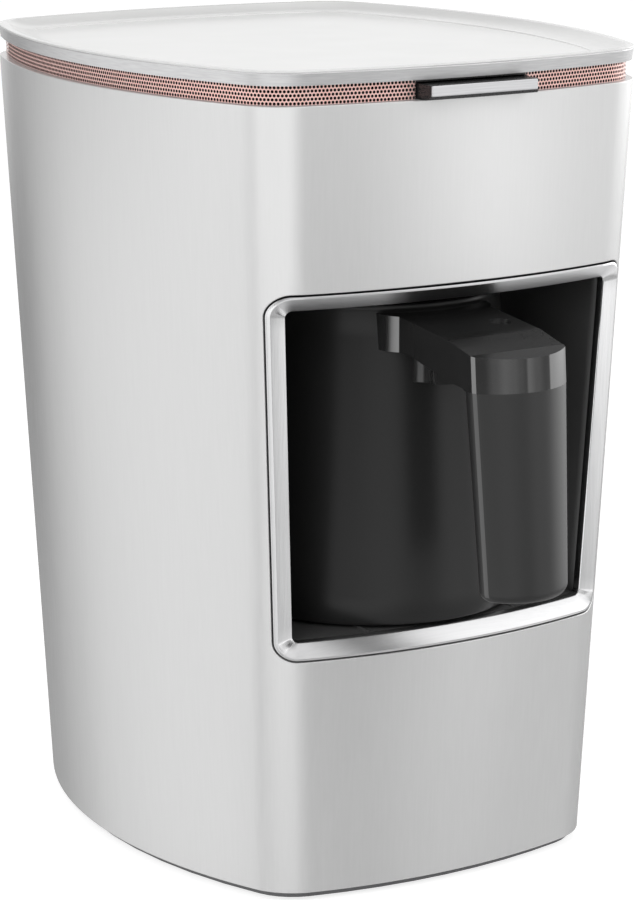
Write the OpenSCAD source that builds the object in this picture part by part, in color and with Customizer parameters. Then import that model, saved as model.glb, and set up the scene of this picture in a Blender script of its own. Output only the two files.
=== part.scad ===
// Electric Turkish coffee maker. One small pot stands on a heated floor in a
// bay at the front of a tapered, round-cornered housing. A cup tray and a
// start key sit on top, over a perforated ring.
// The origin is on the table, in the middle of the whole footprint; +Z is up
// and the bay opens towards -Y.

/* [Housing] */
// Overall height, from the table to the tray's rim
body_h = 265; // [255:1:285]
// Width across the sides at the tray's rim
top_w = 173.6; // [166:0.2:182]
// Depth, front to back, at the tray's rim
top_d = 204.2; // [198:0.2:214]
// Width across the sides at the table
base_w = 155.5; // [150:0.5:162]
// Depth, front to back, at the table
base_d = 179.9; // [176:0.1:190]
// How far each side bows out between its corners
side_bow = 13.8; // [11:0.2:16]
// How far the front and the back bow out between their corners
front_bow = 5.5; // [4:0.1:7]
// Radius of the upright corners
corner_r = 21.1; // [19:0.1:23]
// Wall of the outer shell
shell_wall = 2.4; // [1.8:0.1:3]
// Height of the shell's lower edge above the table
shell_lift = 3.9; // [3:0.1:5]

/* [Base] */
// Height of the base plate's underside above the table
plate_lift = 1.2; // [0.8:0.1:2]
// Floor and wall of the base plate
plate_t = 2.2; // [1.8:0.1:3]
// Height of the base plate's rim above its underside
plate_rim_h = 10.8; // [9:0.2:14]
// Radius of a rubber foot
foot_r = 8; // [6:0.5:10]
// Radius of the screws that hold the base plate
base_screw_r = 1.5; // [1.2:0.1:2]

/* [Ring and tray] */
// Height of the gap that the vent ring fills, from the shell to the tray
ring_h = 6; // [5.8:0.1:8]
// Height of the tray, from its underside to its rim
tray_h = 4.5; // [4:0.1:6]
// How far the vent ring is set back from the housing's skin
ring_inset = 3.2; // [2.6:0.1:4]
// Thickness of the ring's sheet
ring_t = 0.8; // [0.6:0.1:1.2]
// Depth of the tray's sunk middle below its rim
tray_sink = 2.9; // [2:0.1:3.4]
// Width of the slope between the rim and the sunk middle
tray_slope_w = 9.5; // [7:0.5:14]

/* [Start key] */
// Length of the key, side to side
key_w = 38.6; // [30:0.2:44]
// Height of the key
key_h = 4.3; // [4:0.1:4.5]
// How far the key stands out of the vent ring
key_proud = 8.1; // [6:0.1:9]
// Depth of the key's bar
key_bar_d = 17.6; // [15:0.1:19]
// How far the key travels when pushed
key_travel = 2; // [1.5:0.1:2.5]
// Sliding clearance round the key
key_gap = 0.35; // [0.3:0.05:0.5]
// Distance between the key's two guide stems
stem_pitch = 28; // [24:1:32]
// Radius of a guide stem
stem_r = 1.5; // [1.2:0.1:1.8]

/* [Bay] */
// Height of the bay's floor above the table
bay_floor_z = 86.4; // [78:0.2:92]
// Height of the bay's mouth
bay_h = 105.6; // [102:0.2:112]
// Distance from the housing's side to the mouth, at the bay's floor
jamb_low = 26.7; // [25:0.1:27.5]
// Distance from the housing's side to the mouth, at its top
jamb_top = 25.7; // [24:0.1:28]
// Width of the chrome trim's two uprights
trim_w = 6.4; // [5:0.1:7.4]
// Width of the chrome trim's upper and lower bars
trim_bar_w = 5; // [4:0.1:6]
// How far the trim's bevel sinks from the skin to the mouth
trim_sink = 4; // [3:0.1:5]
// Depth of the trim behind the skin
trim_d = 7; // [6:0.1:8]
// Outer corner radius of the trim
trim_r = 6.2; // [5:0.2:8]
// Corner radius of the mouth
mouth_r = 2; // [1:0.2:4]
// Hairline gap between the trim and the shell
trim_gap = 0.5; // [0.3:0.05:0.7]
// Wall of the bay liner
liner_wall = 2.2; // [1.6:0.1:2.6]
// Thickness of the bay's floor
floor_t = 3; // [2.5:0.1:4]

/* [Heater] */
// Radius of the hot plate
hot_r = 37; // [32:0.5:40]
// Thickness of the hot plate
hot_t = 2; // [1.5:0.1:2.5]
// How far the plate and the glide ribs stand above the floor
hot_proud = 0.5; // [0.3:0.1:0.8]
// Radius to the middle of the heating element's loop
element_r = 24; // [20:0.5:26]
// Depth of the heater cup below the floor
cup_h = 17.4; // [16:0.2:22]

/* [Pot] */
// Distance of the pot's axis in front of the housing's middle
pot_fwd = 41.6; // [40:0.2:43]
// Outer radius of the pot at its foot
pot_foot_r = 47.8; // [45:0.2:48.6]
// Outer radius of the pot at its rim
pot_rim_r = 41; // [38:0.2:44]
// Height of the pot
pot_h = 101.6; // [98:0.2:102]
// Wall of the pot
pot_wall = 2.3; // [1.8:0.1:3]
// Radius of the steel base pan
pan_r = 43.6; // [40:0.2:43.8]
// Running gap under the pot
pot_gap = 0.35; // [0.3:0.05:0.5]

/* [Handle] */
// Width of the handle bracket
grip_w = 33.8; // [30:0.2:36]
// Distance of the bracket's square front below the pot's axis, forwards
grip_reach = 84.5; // [80:0.5:88]
// How far the front of the grip bows out
grip_bow = 8.3; // [5:0.1:10]
// Height of the glossy cap at the top of the grip
cap_h = 12.2; // [10:0.2:15]
// Length of the grip below the cap
grip_h = 63; // [55:0.5:66]
// How far the grip leans out at its lower end
grip_lean = 5.2; // [2:0.2:7]
// Width of the grip at its lower end
grip_low_w = 30; // [26:0.5:33]
// Thickness of the grip at its sides
grip_side_t = 4.3; // [3:0.1:6]
// Height of the bracket's slab where it meets the pot
slab_h = 11.2; // [9:0.2:13]

/* [Hidden] */

$fn = 64;
eps = 0.01;
// Air between pieces that seat in one another
fit = 0.2;

// Segments of a quarter of the plan: side, corner and front
side_n = 5;
corner_n = 5;
front_n = 4;
quarter_n = side_n + corner_n + front_n;
// Segments along the mouth's loop: level edges, upright edges and corners
edge_n = 8;
jamb_n = 4;
bend_n = 5;
// Segments of the bay's round back
back_n = 20;

// Levels from the table up
shell_top_z = body_h - tray_h - ring_h;
tray_z = body_h - tray_h;
plate_floor_z = plate_lift + plate_t;
rim_top_z = plate_lift + plate_rim_h;
bay_top_z = bay_floor_z + bay_h;
floor_under_z = bay_floor_z - floor_t;
hot_top_z = bay_floor_z + hot_proud;
hot_under_z = hot_top_z - hot_t;
pot_z = hot_top_z + pot_gap;

// Flange at the top of the shell
flange_t = 2.4;
flange_in = 7;
// Ledge inside the shell that stands on the base plate's rim
ledge_t = 2;
ledge_w = 4;

function mix(a, b, t) = a + (b - a) * t;
function turn(c, r, a) = [c[0] + r * cos(a), c[1] + r * sin(a)];

// ---- plan of the housing ------------------------------------------------
function half_w(z) = mix(base_w, top_w, z / body_h) / 2;
function half_d(z) = mix(base_d, top_d, z / body_h) / 2;
// Radius of an arc from its half chord and its bow
function bow_r(half, bow) = (half * half + bow * bow) / (2 * bow);

// Point k of the plan's quarter, from the middle of the +X side to the middle
// of the +Y side. The side, the corner and the front are arcs that run into
// one another, and out moves the whole line outwards.
function quarter_pt(w, d, out, k) =
    let (
        cx = w - corner_r - side_bow,
        cy = d - corner_r - front_bow,
        side_r = bow_r(cy, side_bow),
        front_r = bow_r(cx, front_bow),
        side_a = asin(cy / side_r),
        front_a = asin(cx / front_r)
    )
    k <= side_n
        ? turn([cx + side_bow - side_r, 0], side_r + corner_r + out, side_a * k / side_n)
    : k <= side_n + corner_n
        ? turn([cx, cy], corner_r + out, mix(side_a, 90 - front_a, (k - side_n) / corner_n))
    : turn([0, cy + front_bow - front_r], front_r + corner_r + out,
        mix(90 - front_a, 90, (k - side_n - corner_n) / front_n));

function plan_at(w, d, out) =
    let (q = [for (k = [0:quarter_n]) quarter_pt(w, d, out, k)])
    concat(
        [for (k = [0:quarter_n - 1]) q[k]],
        [for (k = [quarter_n:-1:1]) [-q[k][0], q[k][1]]],
        [for (k = [0:quarter_n - 1]) -q[k]],
        [for (k = [quarter_n:-1:1]) [q[k][0], -q[k][1]]]
    );

// Closed ring of points at height z. Every upright line is straight from the
// table to the rim, so walls cut at any height lie in the same facets.
function ring(z, out = 0) =
    let (
        low = plan_at(base_w / 2, base_d / 2, out),
        top = plan_at(top_w / 2, top_d / 2, out)
    )
    [for (k = [0:len(low) - 1]) let (p = mix(low[k], top[k], z / body_h)) [p[0], p[1], z]];

// Depth of the front skin at x, z
function front_y(x, z) =
    let (
        cx = half_w(z) - corner_r - side_bow,
        cy = half_d(z) - corner_r - front_bow,
        r = bow_r(cx, front_bow),
        reach = r + corner_r
    )
    abs(x) <= reach * cx / r
        ? -(cy + front_bow - r + sqrt(reach * reach - x * x))
        : -(cy + sqrt(corner_r * corner_r - pow(abs(x) - cx, 2)));

// Skin through a list of rings with equal numbers of points, each turning
// anticlockwise about the way they climb. Closed joins the last to the first.
module loft(rings, closed = false) {
    m = len(rings[0]);
    n = len(rings);
    walls = [
        for (k = [0:(closed ? n : n - 1) - 1], i = [0:m - 1])
            let (
                a = k * m + i,
                b = (k + 1) % n * m + i,
                c = (k + 1) % n * m + (i + 1) % m,
                d = k * m + (i + 1) % m
            )
            each [[a, b, c], [a, c, d]]
    ];
    ends = closed ? [] : [[for (i = [0:m - 1]) i], [for (i = [m - 1:-1:0]) (n - 1) * m + i]];
    polyhedron([for (r = rings) each r], concat(walls, ends));
}

// Solid slab of the plan between two heights
module slab(z0, z1, out) {
    loft([ring(z0, out), ring(z1, out)]);
}

// Wall that follows the plan between two heights
module band(z0, z1, out, thick) {
    loft([ring(z0, out), ring(z1, out), ring(z1, out - thick), ring(z0, out - thick)], true);
}

module box(x0, x1, y0, y1, z0, z1) {
    translate([x0, y0, z0]) cube([x1 - x0, y1 - y0, z1 - z0]);
}

// Cylinder that lies along Y, from y0 to y1
module rod_y(x, z, r, y0, y1) {
    translate([x, y0, z]) rotate([-90, 0, 0]) cylinder(r = r, h = y1 - y0);
}

// ---- mouth of the bay ---------------------------------------------------
mouth_low_w = 2 * (half_w(bay_floor_z) - jamb_low);
mouth_top_w = 2 * (half_w(bay_top_z) - jamb_top);

function mouth_half(z) = mix(mouth_low_w, mouth_top_w, (z - bay_floor_z) / bay_h) / 2;
// Lean of the mouth's upright edges
jamb_a = atan((mouth_top_w - mouth_low_w) / 2 / bay_h);

function bend(c, r, a0, a1) = [for (k = [0:bend_n]) turn(c, r, mix(a0, a1, k / bend_n))];
function between(p, q, n) = [for (k = [1:n - 1]) mix(p, q, k / n)];

// The mouth's outline in X and Z, grown sideways and upwards, anticlockwise
// from the front
function mouth_loop(side, rise, r) =
    let (
        z0 = bay_floor_z - rise + r,
        z1 = bay_top_z + rise - r,
        x0 = mouth_half(z0) + side - r,
        x1 = mouth_half(z1) + side - r,
        low_right = bend([x0, z0], r, -90, -jamb_a),
        top_right = bend([x1, z1], r, -jamb_a, 90),
        top_left = bend([-x1, z1], r, 90, 180 + jamb_a),
        low_left = bend([-x0, z0], r, 180 + jamb_a, 270)
    )
    concat(
        between(low_left[bend_n], low_right[0], edge_n), low_right,
        between(low_right[bend_n], top_right[0], jamb_n), top_right,
        between(top_right[bend_n], top_left[0], edge_n), top_left,
        between(top_left[bend_n], low_left[0], jamb_n), low_left
    );

// One ring of the trim: f runs from the outer edge, 0, to the mouth, 1, and
// sink is the depth behind the skin
function trim_ring(f, sink) =
    let (outer = mouth_loop(trim_w, trim_bar_w, trim_r), inner = mouth_loop(0, 0, mouth_r))
    [for (k = [0:len(outer) - 1]) let (p = mix(outer[k], inner[k], f))
        [p[0], front_y(p[0], p[1]) + sink, p[1]]];

// U-shaped ring of the bay at height z: open at the front, round at the back
function bay_ring(z, grow) =
    let (w = mouth_half(z) + grow)
    concat(
        [[w, -top_d, z]],
        [for (k = [0:back_n]) let (p = turn([0, -pot_fwd], w, 180 * k / back_n)) [p[0], p[1], z]],
        [[-w, -top_d, z]]
    );

module bay_core(z0, z1, grow) {
    loft([bay_ring(z0, grow), bay_ring(z1, grow)]);
}

// Everything far enough behind the front skin to lie behind the trim
module behind_trim(z0, z1) {
    translate([0, trim_d, 0]) slab(z0, z1, 0);
}

// ---- housing ------------------------------------------------------------
post_r = 4;
post_h = rim_top_z + ledge_t - plate_floor_z;
// The base screws stand in the corners of the plan
post_x = base_w / 2 - side_bow - corner_r + 8.5;
post_y = base_d / 2 - front_bow - corner_r + 8.5;
gland_z = rim_top_z + ledge_t + 12;
gland_r = 5;

module at_posts() {
    for (x = [-post_x, post_x], y = [-post_y, post_y]) translate([x, y, 0]) children();
}

// Depth of the back skin on the middle line
function back_y(z) = half_d(z);

// Tapered wrap-round shell with a flange under the ring, a ledge and four
// screw posts at the bottom, open at the bay and for the cord gland
module outer_shell() {
    color("gainsboro") {
        difference() {
            loft([
                ring(shell_lift), ring(shell_top_z - 1), ring(shell_top_z, -1),
                ring(shell_top_z, -flange_in), ring(shell_top_z - flange_t, -flange_in),
                ring(shell_top_z - flange_t, -shell_wall),
                ring(rim_top_z + ledge_t, -shell_wall),
                ring(rim_top_z + ledge_t, -shell_wall - ledge_w),
                ring(rim_top_z, -shell_wall - ledge_w), ring(rim_top_z, -shell_wall),
                ring(shell_lift, -shell_wall)
            ], true);
            translate([0, -pot_fwd, 0]) rotate([90, 0, 0]) linear_extrude(top_d)
                polygon(mouth_loop(trim_w + trim_gap, trim_bar_w + trim_gap, trim_r + trim_gap));
            rod_y(0, gland_z, gland_r, back_y(gland_z) - 2 * shell_wall, back_y(gland_z) + 1);
        }
        at_posts() translate([0, 0, plate_floor_z]) difference() {
            cylinder(r = post_r, h = post_h);
            translate([0, 0, -eps]) cylinder(r = base_screw_r, h = post_h - 2);
        }
    }
}

// ---- base ---------------------------------------------------------------
foot_x = base_w / 2 - 35;
foot_y = base_d / 2 - 29;
foot_sink = 1;
vent_n = 7;
vent_w = 3;
vent_l = 34;
vent_pitch = 8;
// Pillars that carry the bay's floor
pillar_r = 4;
pillar_x = mouth_low_w / 2 - 12;
pillar_y = [-pot_fwd - 33, -pot_fwd + 24];
// Standoffs of the power board
power_board_w = 84;
power_board_d = 50;
power_board_y = 40;
power_board_z = plate_floor_z + 7;
board_t = 1.6;
standoff_r = 3;
board_screw_r = 1.2;
board_hole_r = board_screw_r + 0.3;

module at_power_standoffs() {
    for (x = [-1, 1], y = [-1, 1])
        translate([x * (power_board_w / 2 - 5), power_board_y + y * (power_board_d / 2 - 5),
            power_board_z]) children();
}

// Grey plinth: a shallow tray with vents, foot pockets and the pillars under
// the bay's floor
module base_plate() {
    out = -shell_wall - fit;
    color("dimgray") {
        difference() {
            slab(plate_lift, rim_top_z, out);
            slab(plate_floor_z, rim_top_z + 1, out - plate_t);
            at_posts() {
                translate([0, 0, plate_lift - eps])
                    cylinder(r = base_screw_r + 0.2, h = plate_t + 1);
                translate([0, 0, plate_lift - eps]) cylinder(r = 3.2, h = 1.2);
            }
            for (x = [-foot_x, foot_x], y = [-foot_y, foot_y])
                translate([x, y, plate_lift - eps]) cylinder(r = foot_r + 0.1, h = foot_sink);
            for (k = [0:vent_n - 1])
                translate([0, power_board_y + (k - (vent_n - 1) / 2) * vent_pitch, plate_lift - 1])
                    linear_extrude(plate_t + 2) hull()
                        for (x = [-vent_l / 2, vent_l / 2]) translate([x, 0]) circle(vent_w / 2);
        }
        for (x = [-pillar_x, pillar_x], y = pillar_y)
            translate([x, y, plate_floor_z]) cylinder(r = pillar_r, h = floor_under_z - plate_floor_z);
        at_power_standoffs() mirror([0, 0, 1]) difference() {
            cylinder(r = standoff_r, h = power_board_z - plate_floor_z);
            translate([0, 0, -eps]) cylinder(r = board_screw_r + 0.05, h = 5);
        }
    }
}

// Rubber foot, let into its pocket, with a rounded lower edge
module foot(x, y) {
    color("black") translate([x, y, 0]) rotate_extrude() polygon([
        [0, 0], [foot_r - 1.2, 0], [foot_r - 0.3, 0.4], [foot_r, 1],
        [foot_r, plate_lift + foot_sink - eps], [0, plate_lift + foot_sink - eps]
    ]);
}

// Pan-head screw that points up, its head's underside at z = 0
module screw_up(r, length, head_r, head_h) {
    difference() {
        union() {
            cylinder(r = r, h = length);
            translate([0, 0, -head_h]) cylinder(r = head_r, h = head_h);
        }
        for (a = [0, 90]) rotate([0, 0, a]) translate([0, 0, -head_h])
            cube([head_r * 1.2, head_r * 0.3, head_h], center = true);
    }
}

module base_screws() {
    color("silver") at_posts() translate([0, 0, plate_lift + 1.2 - eps])
        screw_up(base_screw_r - 0.05, plate_t + 6, 2.9, 1.1);
}

// Bushing that lines the cord's hole in the shell's back
module cord_gland() {
    bore_r = gland_r - 1.6;
    color("black") translate([0, back_y(gland_z), gland_z]) rotate([-90, 0, 0])
        rotate_extrude() polygon([
            [bore_r, -6], [gland_r + 1.6, -6], [gland_r + 1.6, -shell_wall - 1.2],
            [gland_r, -shell_wall - 1], [gland_r, 0.6], [gland_r + 2.2, 0.6],
            [gland_r + 2.2, 1.8], [gland_r + 0.6, 3], [bore_r, 3]
        ]);
}

// ---- ring, tray and what carries them -----------------------------------
carrier_t = 2;
carrier_top_z = shell_top_z + carrier_t;
ring_back = -ring_inset - ring_t;
// The key's guide fills a notch in the carrier and the ring
guide_w = key_w + 5.4;
notch_w = guide_w + 0.6;
key_mid_z = shell_top_z + 0.5 + key_h / 2;
ring_face_y = front_y(0, key_mid_z) + ring_inset;
key_front_y = ring_face_y - key_proud;
key_back_y = key_front_y + key_bar_d;
guide_wall = 2.5;
spring_l = 4.5;
guide_rear_y = key_back_y + spring_l;
guide_back_y = guide_rear_y + guide_wall;
switch_d = 10;

// Room for the guide, the key's stems and the switch behind them
module front_notch(z0, z1) {
    box(-notch_w / 2, notch_w / 2, -top_d, guide_back_y + switch_d + 0.5, z0, z1);
}

control_w = 96;
control_d = 66;
control_y = 14;
control_z = shell_top_z - 14;
buzzer_r = 11.5;
buzzer_h = 9;
buzzer_y = 62;

module at_control_bosses() {
    for (x = [-1, 1], y = [-1, 1])
        translate([x * (control_w / 2 - 5), control_y + y * (control_d / 2 - 5), 0]) children();
}

// Plate that lies on the shell's flange. Its skirt finds the flange's inner
// edge, its rim carries the tray, and the control board hangs from its bosses.
module top_carrier() {
    skirt_h = 6;
    color([0.16, 0.16, 0.17]) difference() {
        union() {
            slab(shell_top_z, carrier_top_z, ring_back - 0.4);
            band(shell_top_z - skirt_h, shell_top_z + eps, -flange_in - fit, 2);
            band(carrier_top_z - eps, tray_z, -5.2, 1.4);
            at_control_bosses() translate([0, 0, control_z])
                cylinder(r = 3.5, h = shell_top_z - control_z + eps);
            translate([0, buzzer_y, shell_top_z - 3]) difference() {
                cylinder(r = buzzer_r + 1.5, h = 3 + eps);
                translate([0, 0, -eps]) cylinder(r = buzzer_r + 0.1, h = 3 + eps);
            }
        }
        front_notch(shell_top_z - skirt_h - 1, tray_z + 1);
        at_control_bosses() translate([0, 0, control_z - eps])
            cylinder(r = board_screw_r + 0.05, h = shell_top_z - control_z);
        at_guide_screws() cylinder(r = 1.25, h = 2 * carrier_t + 3.2, center = true);
    }
}

// Holes of the ring, in staggered rows
hole_r = 0.85;
hole_pitch = 2.7;
hole_rows = 3;

// Drill for every hole, square to the facet of the ring that it goes through
module at_ring_holes() {
    mid = ring((shell_top_z + tray_z) / 2, -ring_inset - ring_t / 2);
    for (i = [0:len(mid) - 1]) {
        p = mid[i];
        q = mid[(i + 1) % len(mid)];
        n = max(1, round(norm(q - p) / hole_pitch));
        for (j = [0:n - 1], k = [0:hole_rows - 1])
            translate(mix(p, q, (j + k % 2 / 2) / n)) rotate([90, 0, atan2(q[1] - p[1], q[0] - p[0])])
                translate([0, ((k + 0.5) / hole_rows - 0.5) * (ring_h - 0.4), 0]) children();
    }
}

// Perforated sheet ring, open at the front for the key's guide
module vent_ring() {
    color([0.80, 0.55, 0.50]) difference() {
        band(shell_top_z, tray_z, -ring_inset, ring_t);
        at_ring_holes() cylinder(r = hole_r, h = 3 * ring_t, center = true);
        front_notch(shell_top_z - 1, tray_z + 1);
    }
}

slope_steps = 5;
lip_t = 0.4;
lip_out = -0.4;

// Depth of the tray below its rim at a share s of the slope: a cove that
// falls quickly at the rim and runs out flat in the middle
function cove(s) = tray_sink * (1 - pow(1 - s, 2));

// Glossy cover: a thin rim, a cove and a flat sunk middle, and below it a
// skirt that finds the carrier's rim
module top_tray() {
    rim_w = 2.2;
    skirt_out = -7;
    color("white") {
        loft(concat(
            [ring(tray_z, -2.4), ring(body_h - lip_t, lip_out - 1.2),
                ring(body_h - lip_t, lip_out), ring(body_h, lip_out - 0.2),
                ring(body_h, lip_out - rim_w)],
            [for (k = [1:slope_steps]) let (s = k / slope_steps)
                ring(body_h - cove(s), lip_out - rim_w - s * tray_slope_w)]
        ));
        difference() {
            band(tray_z - 2.4, tray_z + eps, skirt_out, 1.4);
            front_notch(tray_z - 3, tray_z);
        }
    }
}

// Satin metal band round the tray's edge, under its lip
module tray_band() {
    color("silver") loft([
        ring(tray_z, -1.3), ring(body_h - lip_t, lip_out),
        ring(body_h - lip_t, lip_out - 1), ring(tray_z, -2.2)
    ], true);
}

// ---- bay ----------------------------------------------------------------
// Bevelled chrome frame that follows the bowed front and its corners. Its
// back is cut where the liner and the floor begin.
module bay_trim() {
    deep = trim_d + 1;
    color("lightgray") difference() {
        loft([
            trim_ring(0, shell_wall + 0.4), trim_ring(0, 0.2), trim_ring(0.17, 0.1),
            trim_ring(1, trim_sink), trim_ring(1, deep), trim_ring(0.5, deep)
        ], true);
        behind_trim(bay_floor_z - trim_bar_w - 1, bay_top_z + trim_bar_w + 1);
    }
}

window_r = 7;

// Black cavity: two side walls, a round back and a ceiling with the foam
// sensor's hole over the pot
module bay_liner() {
    top = bay_top_z + liner_wall;
    color([0.07, 0.07, 0.07]) difference() {
        intersection() {
            difference() {
                bay_core(bay_floor_z, top, liner_wall);
                bay_core(bay_floor_z - 1, bay_top_z, 0);
            }
            behind_trim(bay_floor_z - 1, top + 1);
        }
        translate([0, -pot_fwd, bay_top_z - 1]) cylinder(r = window_r, h = liner_wall + 2);
    }
}

rib_x = mouth_low_w / 4 + 0.4;
rib_r = 0.5;

// Floor of the bay with the seat of the hot plate and three glide ribs
module bay_floor() {
    color([0.07, 0.07, 0.07]) {
        difference() {
            intersection() {
                bay_core(floor_under_z, bay_floor_z, liner_wall);
                behind_trim(floor_under_z - 1, bay_floor_z + 1);
            }
            translate([0, -pot_fwd, floor_under_z - 1]) cylinder(r = hot_r - 3, h = floor_t + 2);
            translate([0, -pot_fwd, hot_under_z]) cylinder(r = hot_r + fit, h = floor_t);
            on_pot_axis() at_cup_screws() translate([0, 0, floor_under_z - eps])
                cylinder(r = cup_screw_r, h = floor_t - 0.8);
        }
        for (x = [-rib_x, 0, rib_x]) glide_rib(x);
    }
}

// Half-round rib from the mouth to the hot plate
module glide_rib(x) {
    y0 = front_y(x, bay_floor_z) + trim_d + 1;
    y1 = -pot_fwd - sqrt(pow(hot_r + 2, 2) - x * x);
    intersection() {
        rod_y(x, bay_floor_z, rib_r, y0, y1);
        box(x - 1, x + 1, y0, y1, bay_floor_z - eps, bay_floor_z + 1);
    }
}

// ---- heater -------------------------------------------------------------
spreader_r = hot_r - 6;
spreader_t = 3;
spreader_z = hot_under_z - spreader_t;
element_w = 6;
element_z = spreader_z - element_w;
cup_r = hot_r - 3;
cup_wall = 1.2;
cup_floor_z = floor_under_z - cup_h + cup_wall;
terminal_a = 14;
cup_screw_r = 1.2;
cup_screw_out = 5.6;
cup_flange_r = cup_r + cup_screw_out + 3;

module on_pot_axis() {
    translate([0, -pot_fwd, 0]) children();
}

module hot_plate() {
    color("silver") on_pot_axis() translate([0, 0, hot_under_z]) rotate_extrude() polygon([
        [0, 0], [hot_r, 0], [hot_r, hot_t - 0.4], [hot_r - 0.4, hot_t], [0, hot_t]
    ]);
}

module heat_spreader() {
    color("lightgray") on_pot_axis() translate([0, 0, spreader_z])
        cylinder(r = spreader_r, h = spreader_t);
}

// Sheathed element: an open loop of round section, flattened above and below
module heating_element() {
    color("dimgray") on_pot_axis() translate([0, 0, element_z]) rotate([0, 0, terminal_a - 90])
        rotate_extrude(angle = 360 - 2 * terminal_a) translate([element_r - element_w / 2, 0])
            intersection() {
                translate([element_w / 2, element_w / 2]) circle(element_w * 0.54);
                square(element_w);
            }
}

module at_terminals() {
    for (s = [-1, 1]) rotate([0, 0, -90 + s * (terminal_a + 5)]) translate([element_r, 0, 0])
        children();
}

module element_terminals() {
    color("goldenrod") on_pot_axis() at_terminals() translate([0, 0, cup_floor_z - 10])
        cylinder(r = 1.6, h = element_z - cup_floor_z + 10);
}

// Sheet cup under the floor that keeps the heat in
module heater_cup() {
    color("silver") on_pot_axis() difference() {
        rotate_extrude() polygon([
            [0, cup_floor_z - cup_wall], [cup_r + cup_wall, cup_floor_z - cup_wall],
            [cup_r + cup_wall, floor_under_z - cup_wall], [cup_flange_r, floor_under_z - cup_wall],
            [cup_flange_r, floor_under_z], [cup_r, floor_under_z], [cup_r, cup_floor_z],
            [0, cup_floor_z]
        ]);
        at_terminals() translate([0, 0, cup_floor_z - 2]) cylinder(r = 3, h = 3);
        at_cup_screws() translate([0, 0, floor_under_z - 2]) cylinder(r = cup_screw_r, h = 3);
    }
}

module at_cup_screws() {
    for (k = [0:2]) rotate([0, 0, 90 + 120 * k]) translate([cup_r + cup_screw_out, 0, 0])
        children();
}

module cup_screws() {
    color("silver") on_pot_axis() at_cup_screws()
        translate([0, 0, floor_under_z - cup_wall])
            screw_up(cup_screw_r - 0.05, cup_wall + floor_t - 1, 2.1, 1.2);
}

module temperature_sensor() {
    color("khaki") on_pot_axis() translate([0, 0, cup_floor_z]) {
        cylinder(r = 6, h = 3);
        cylinder(r = 4, h = spreader_z - cup_floor_z);
    }
}

module thermal_fuse() {
    r = 2;
    color("khaki") on_pot_axis() translate([-8, 12, cup_floor_z + r]) rotate([0, 90, 0])
        cylinder(r = r, h = 14);
}

// ---- foam sensor --------------------------------------------------------
housing_h = 11;

module foam_window() {
    color([0.5, 0.1, 0.1, 0.6]) on_pot_axis() translate([0, 0, bay_top_z]) {
        cylinder(r = window_r - 0.1, h = liner_wall);
        translate([0, 0, liner_wall]) cylinder(r = window_r + 1.4, h = 1);
    }
}

module foam_housing() {
    z = bay_top_z + liner_wall;
    color("black") on_pot_axis() translate([0, 0, z]) difference() {
        cylinder(r = window_r + 3.6, h = housing_h);
        translate([0, 0, -eps]) cylinder(r = window_r + 1.6, h = housing_h + 1);
    }
}

module foam_board() {
    z = bay_top_z + liner_wall + housing_h;
    color("darkgreen") on_pot_axis() translate([-13, -11, z]) cube([26, 22, board_t]);
}

// ---- boards -------------------------------------------------------------
module control_board() {
    color("darkgreen") difference() {
        translate([-control_w / 2, control_y - control_d / 2, control_z - board_t])
            cube([control_w, control_d, board_t]);
        at_control_bosses() translate([0, 0, control_z - 3]) cylinder(r = board_hole_r, h = 4);
    }
}

module board_screws() {
    color("silver") {
        at_control_bosses() translate([0, 0, control_z - board_t])
            screw_up(board_screw_r, board_t + 6, 2 * board_screw_r, 1.5);
        at_power_standoffs() translate([0, 0, board_t]) mirror([0, 0, 1])
            screw_up(board_screw_r, board_t + 4, 2 * board_screw_r, 1.5);
    }
}

// Widths, depths and heights of the parts on the boards
relay_size = [19, 15, 15];
chip_size = [12, 12, 2];
core_size = [28, 23, 5];
coil_size = [22, 23, 22];
block_size = [12, 30, 12];
capacitor_r = 6;
capacitor_h = 18;

module under_control(size, x, y) {
    translate([x, control_y + y, control_z - board_t - size[2] / 2]) cube(size, center = true);
}

module key_relay() {
    color("royalblue") under_control(relay_size, -control_w / 4, 8);
}

module key_chip() {
    color([0.1, 0.1, 0.1]) under_control(chip_size, control_w / 7, -6);
}

module buzzer() {
    color([0.1, 0.1, 0.1]) translate([0, buzzer_y, shell_top_z - buzzer_h]) difference() {
        cylinder(r = buzzer_r, h = buzzer_h);
        translate([0, 0, -eps]) cylinder(r = buzzer_r / 8, h = buzzer_h / 4);
    }
}

module power_board() {
    color("darkgreen") difference() {
        translate([0, power_board_y, power_board_z + board_t / 2])
            cube([power_board_w, power_board_d, board_t], center = true);
        at_power_standoffs() cylinder(r = board_hole_r, h = 3 * board_t, center = true);
    }
}

module on_power(size, x, y) {
    translate([x, power_board_y + y, power_board_z + board_t + size[2] / 2]) cube(size, center = true);
}

module transformer() {
    color("goldenrod") {
        on_power(core_size, -power_board_w / 4, -4);
        on_power(coil_size, -power_board_w / 4, -4);
    }
}

module power_relay() {
    color("royalblue") on_power(relay_size, power_board_w / 14, 8);
}

module capacitor() {
    color("black") translate([power_board_w / 10, power_board_y - power_board_d / 4, power_board_z + board_t])
        cylinder(r = capacitor_r, h = capacitor_h);
}

// Block with three clamps, each in a well
module terminal_block() {
    x = power_board_w / 2 - block_size[0];
    color("seagreen") difference() {
        on_power(block_size, x, 0);
        for (k = [-1:1])
            translate([x, power_board_y + k * 0.3 * block_size[1],
                power_board_z + board_t + block_size[2] / 2])
                cylinder(r = block_size[0] / 6, h = block_size[2]);
    }
}

// ---- start key ----------------------------------------------------------
key_low_z = key_mid_z - key_h / 2;
key_top_z = key_mid_z + key_h / 2;
guide_ceiling_z = key_top_z + key_gap;
face_t = 0.6;
button_r = 1.4;
switch_y = guide_back_y;
stem_end_y = guide_back_y + 2.4;

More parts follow.
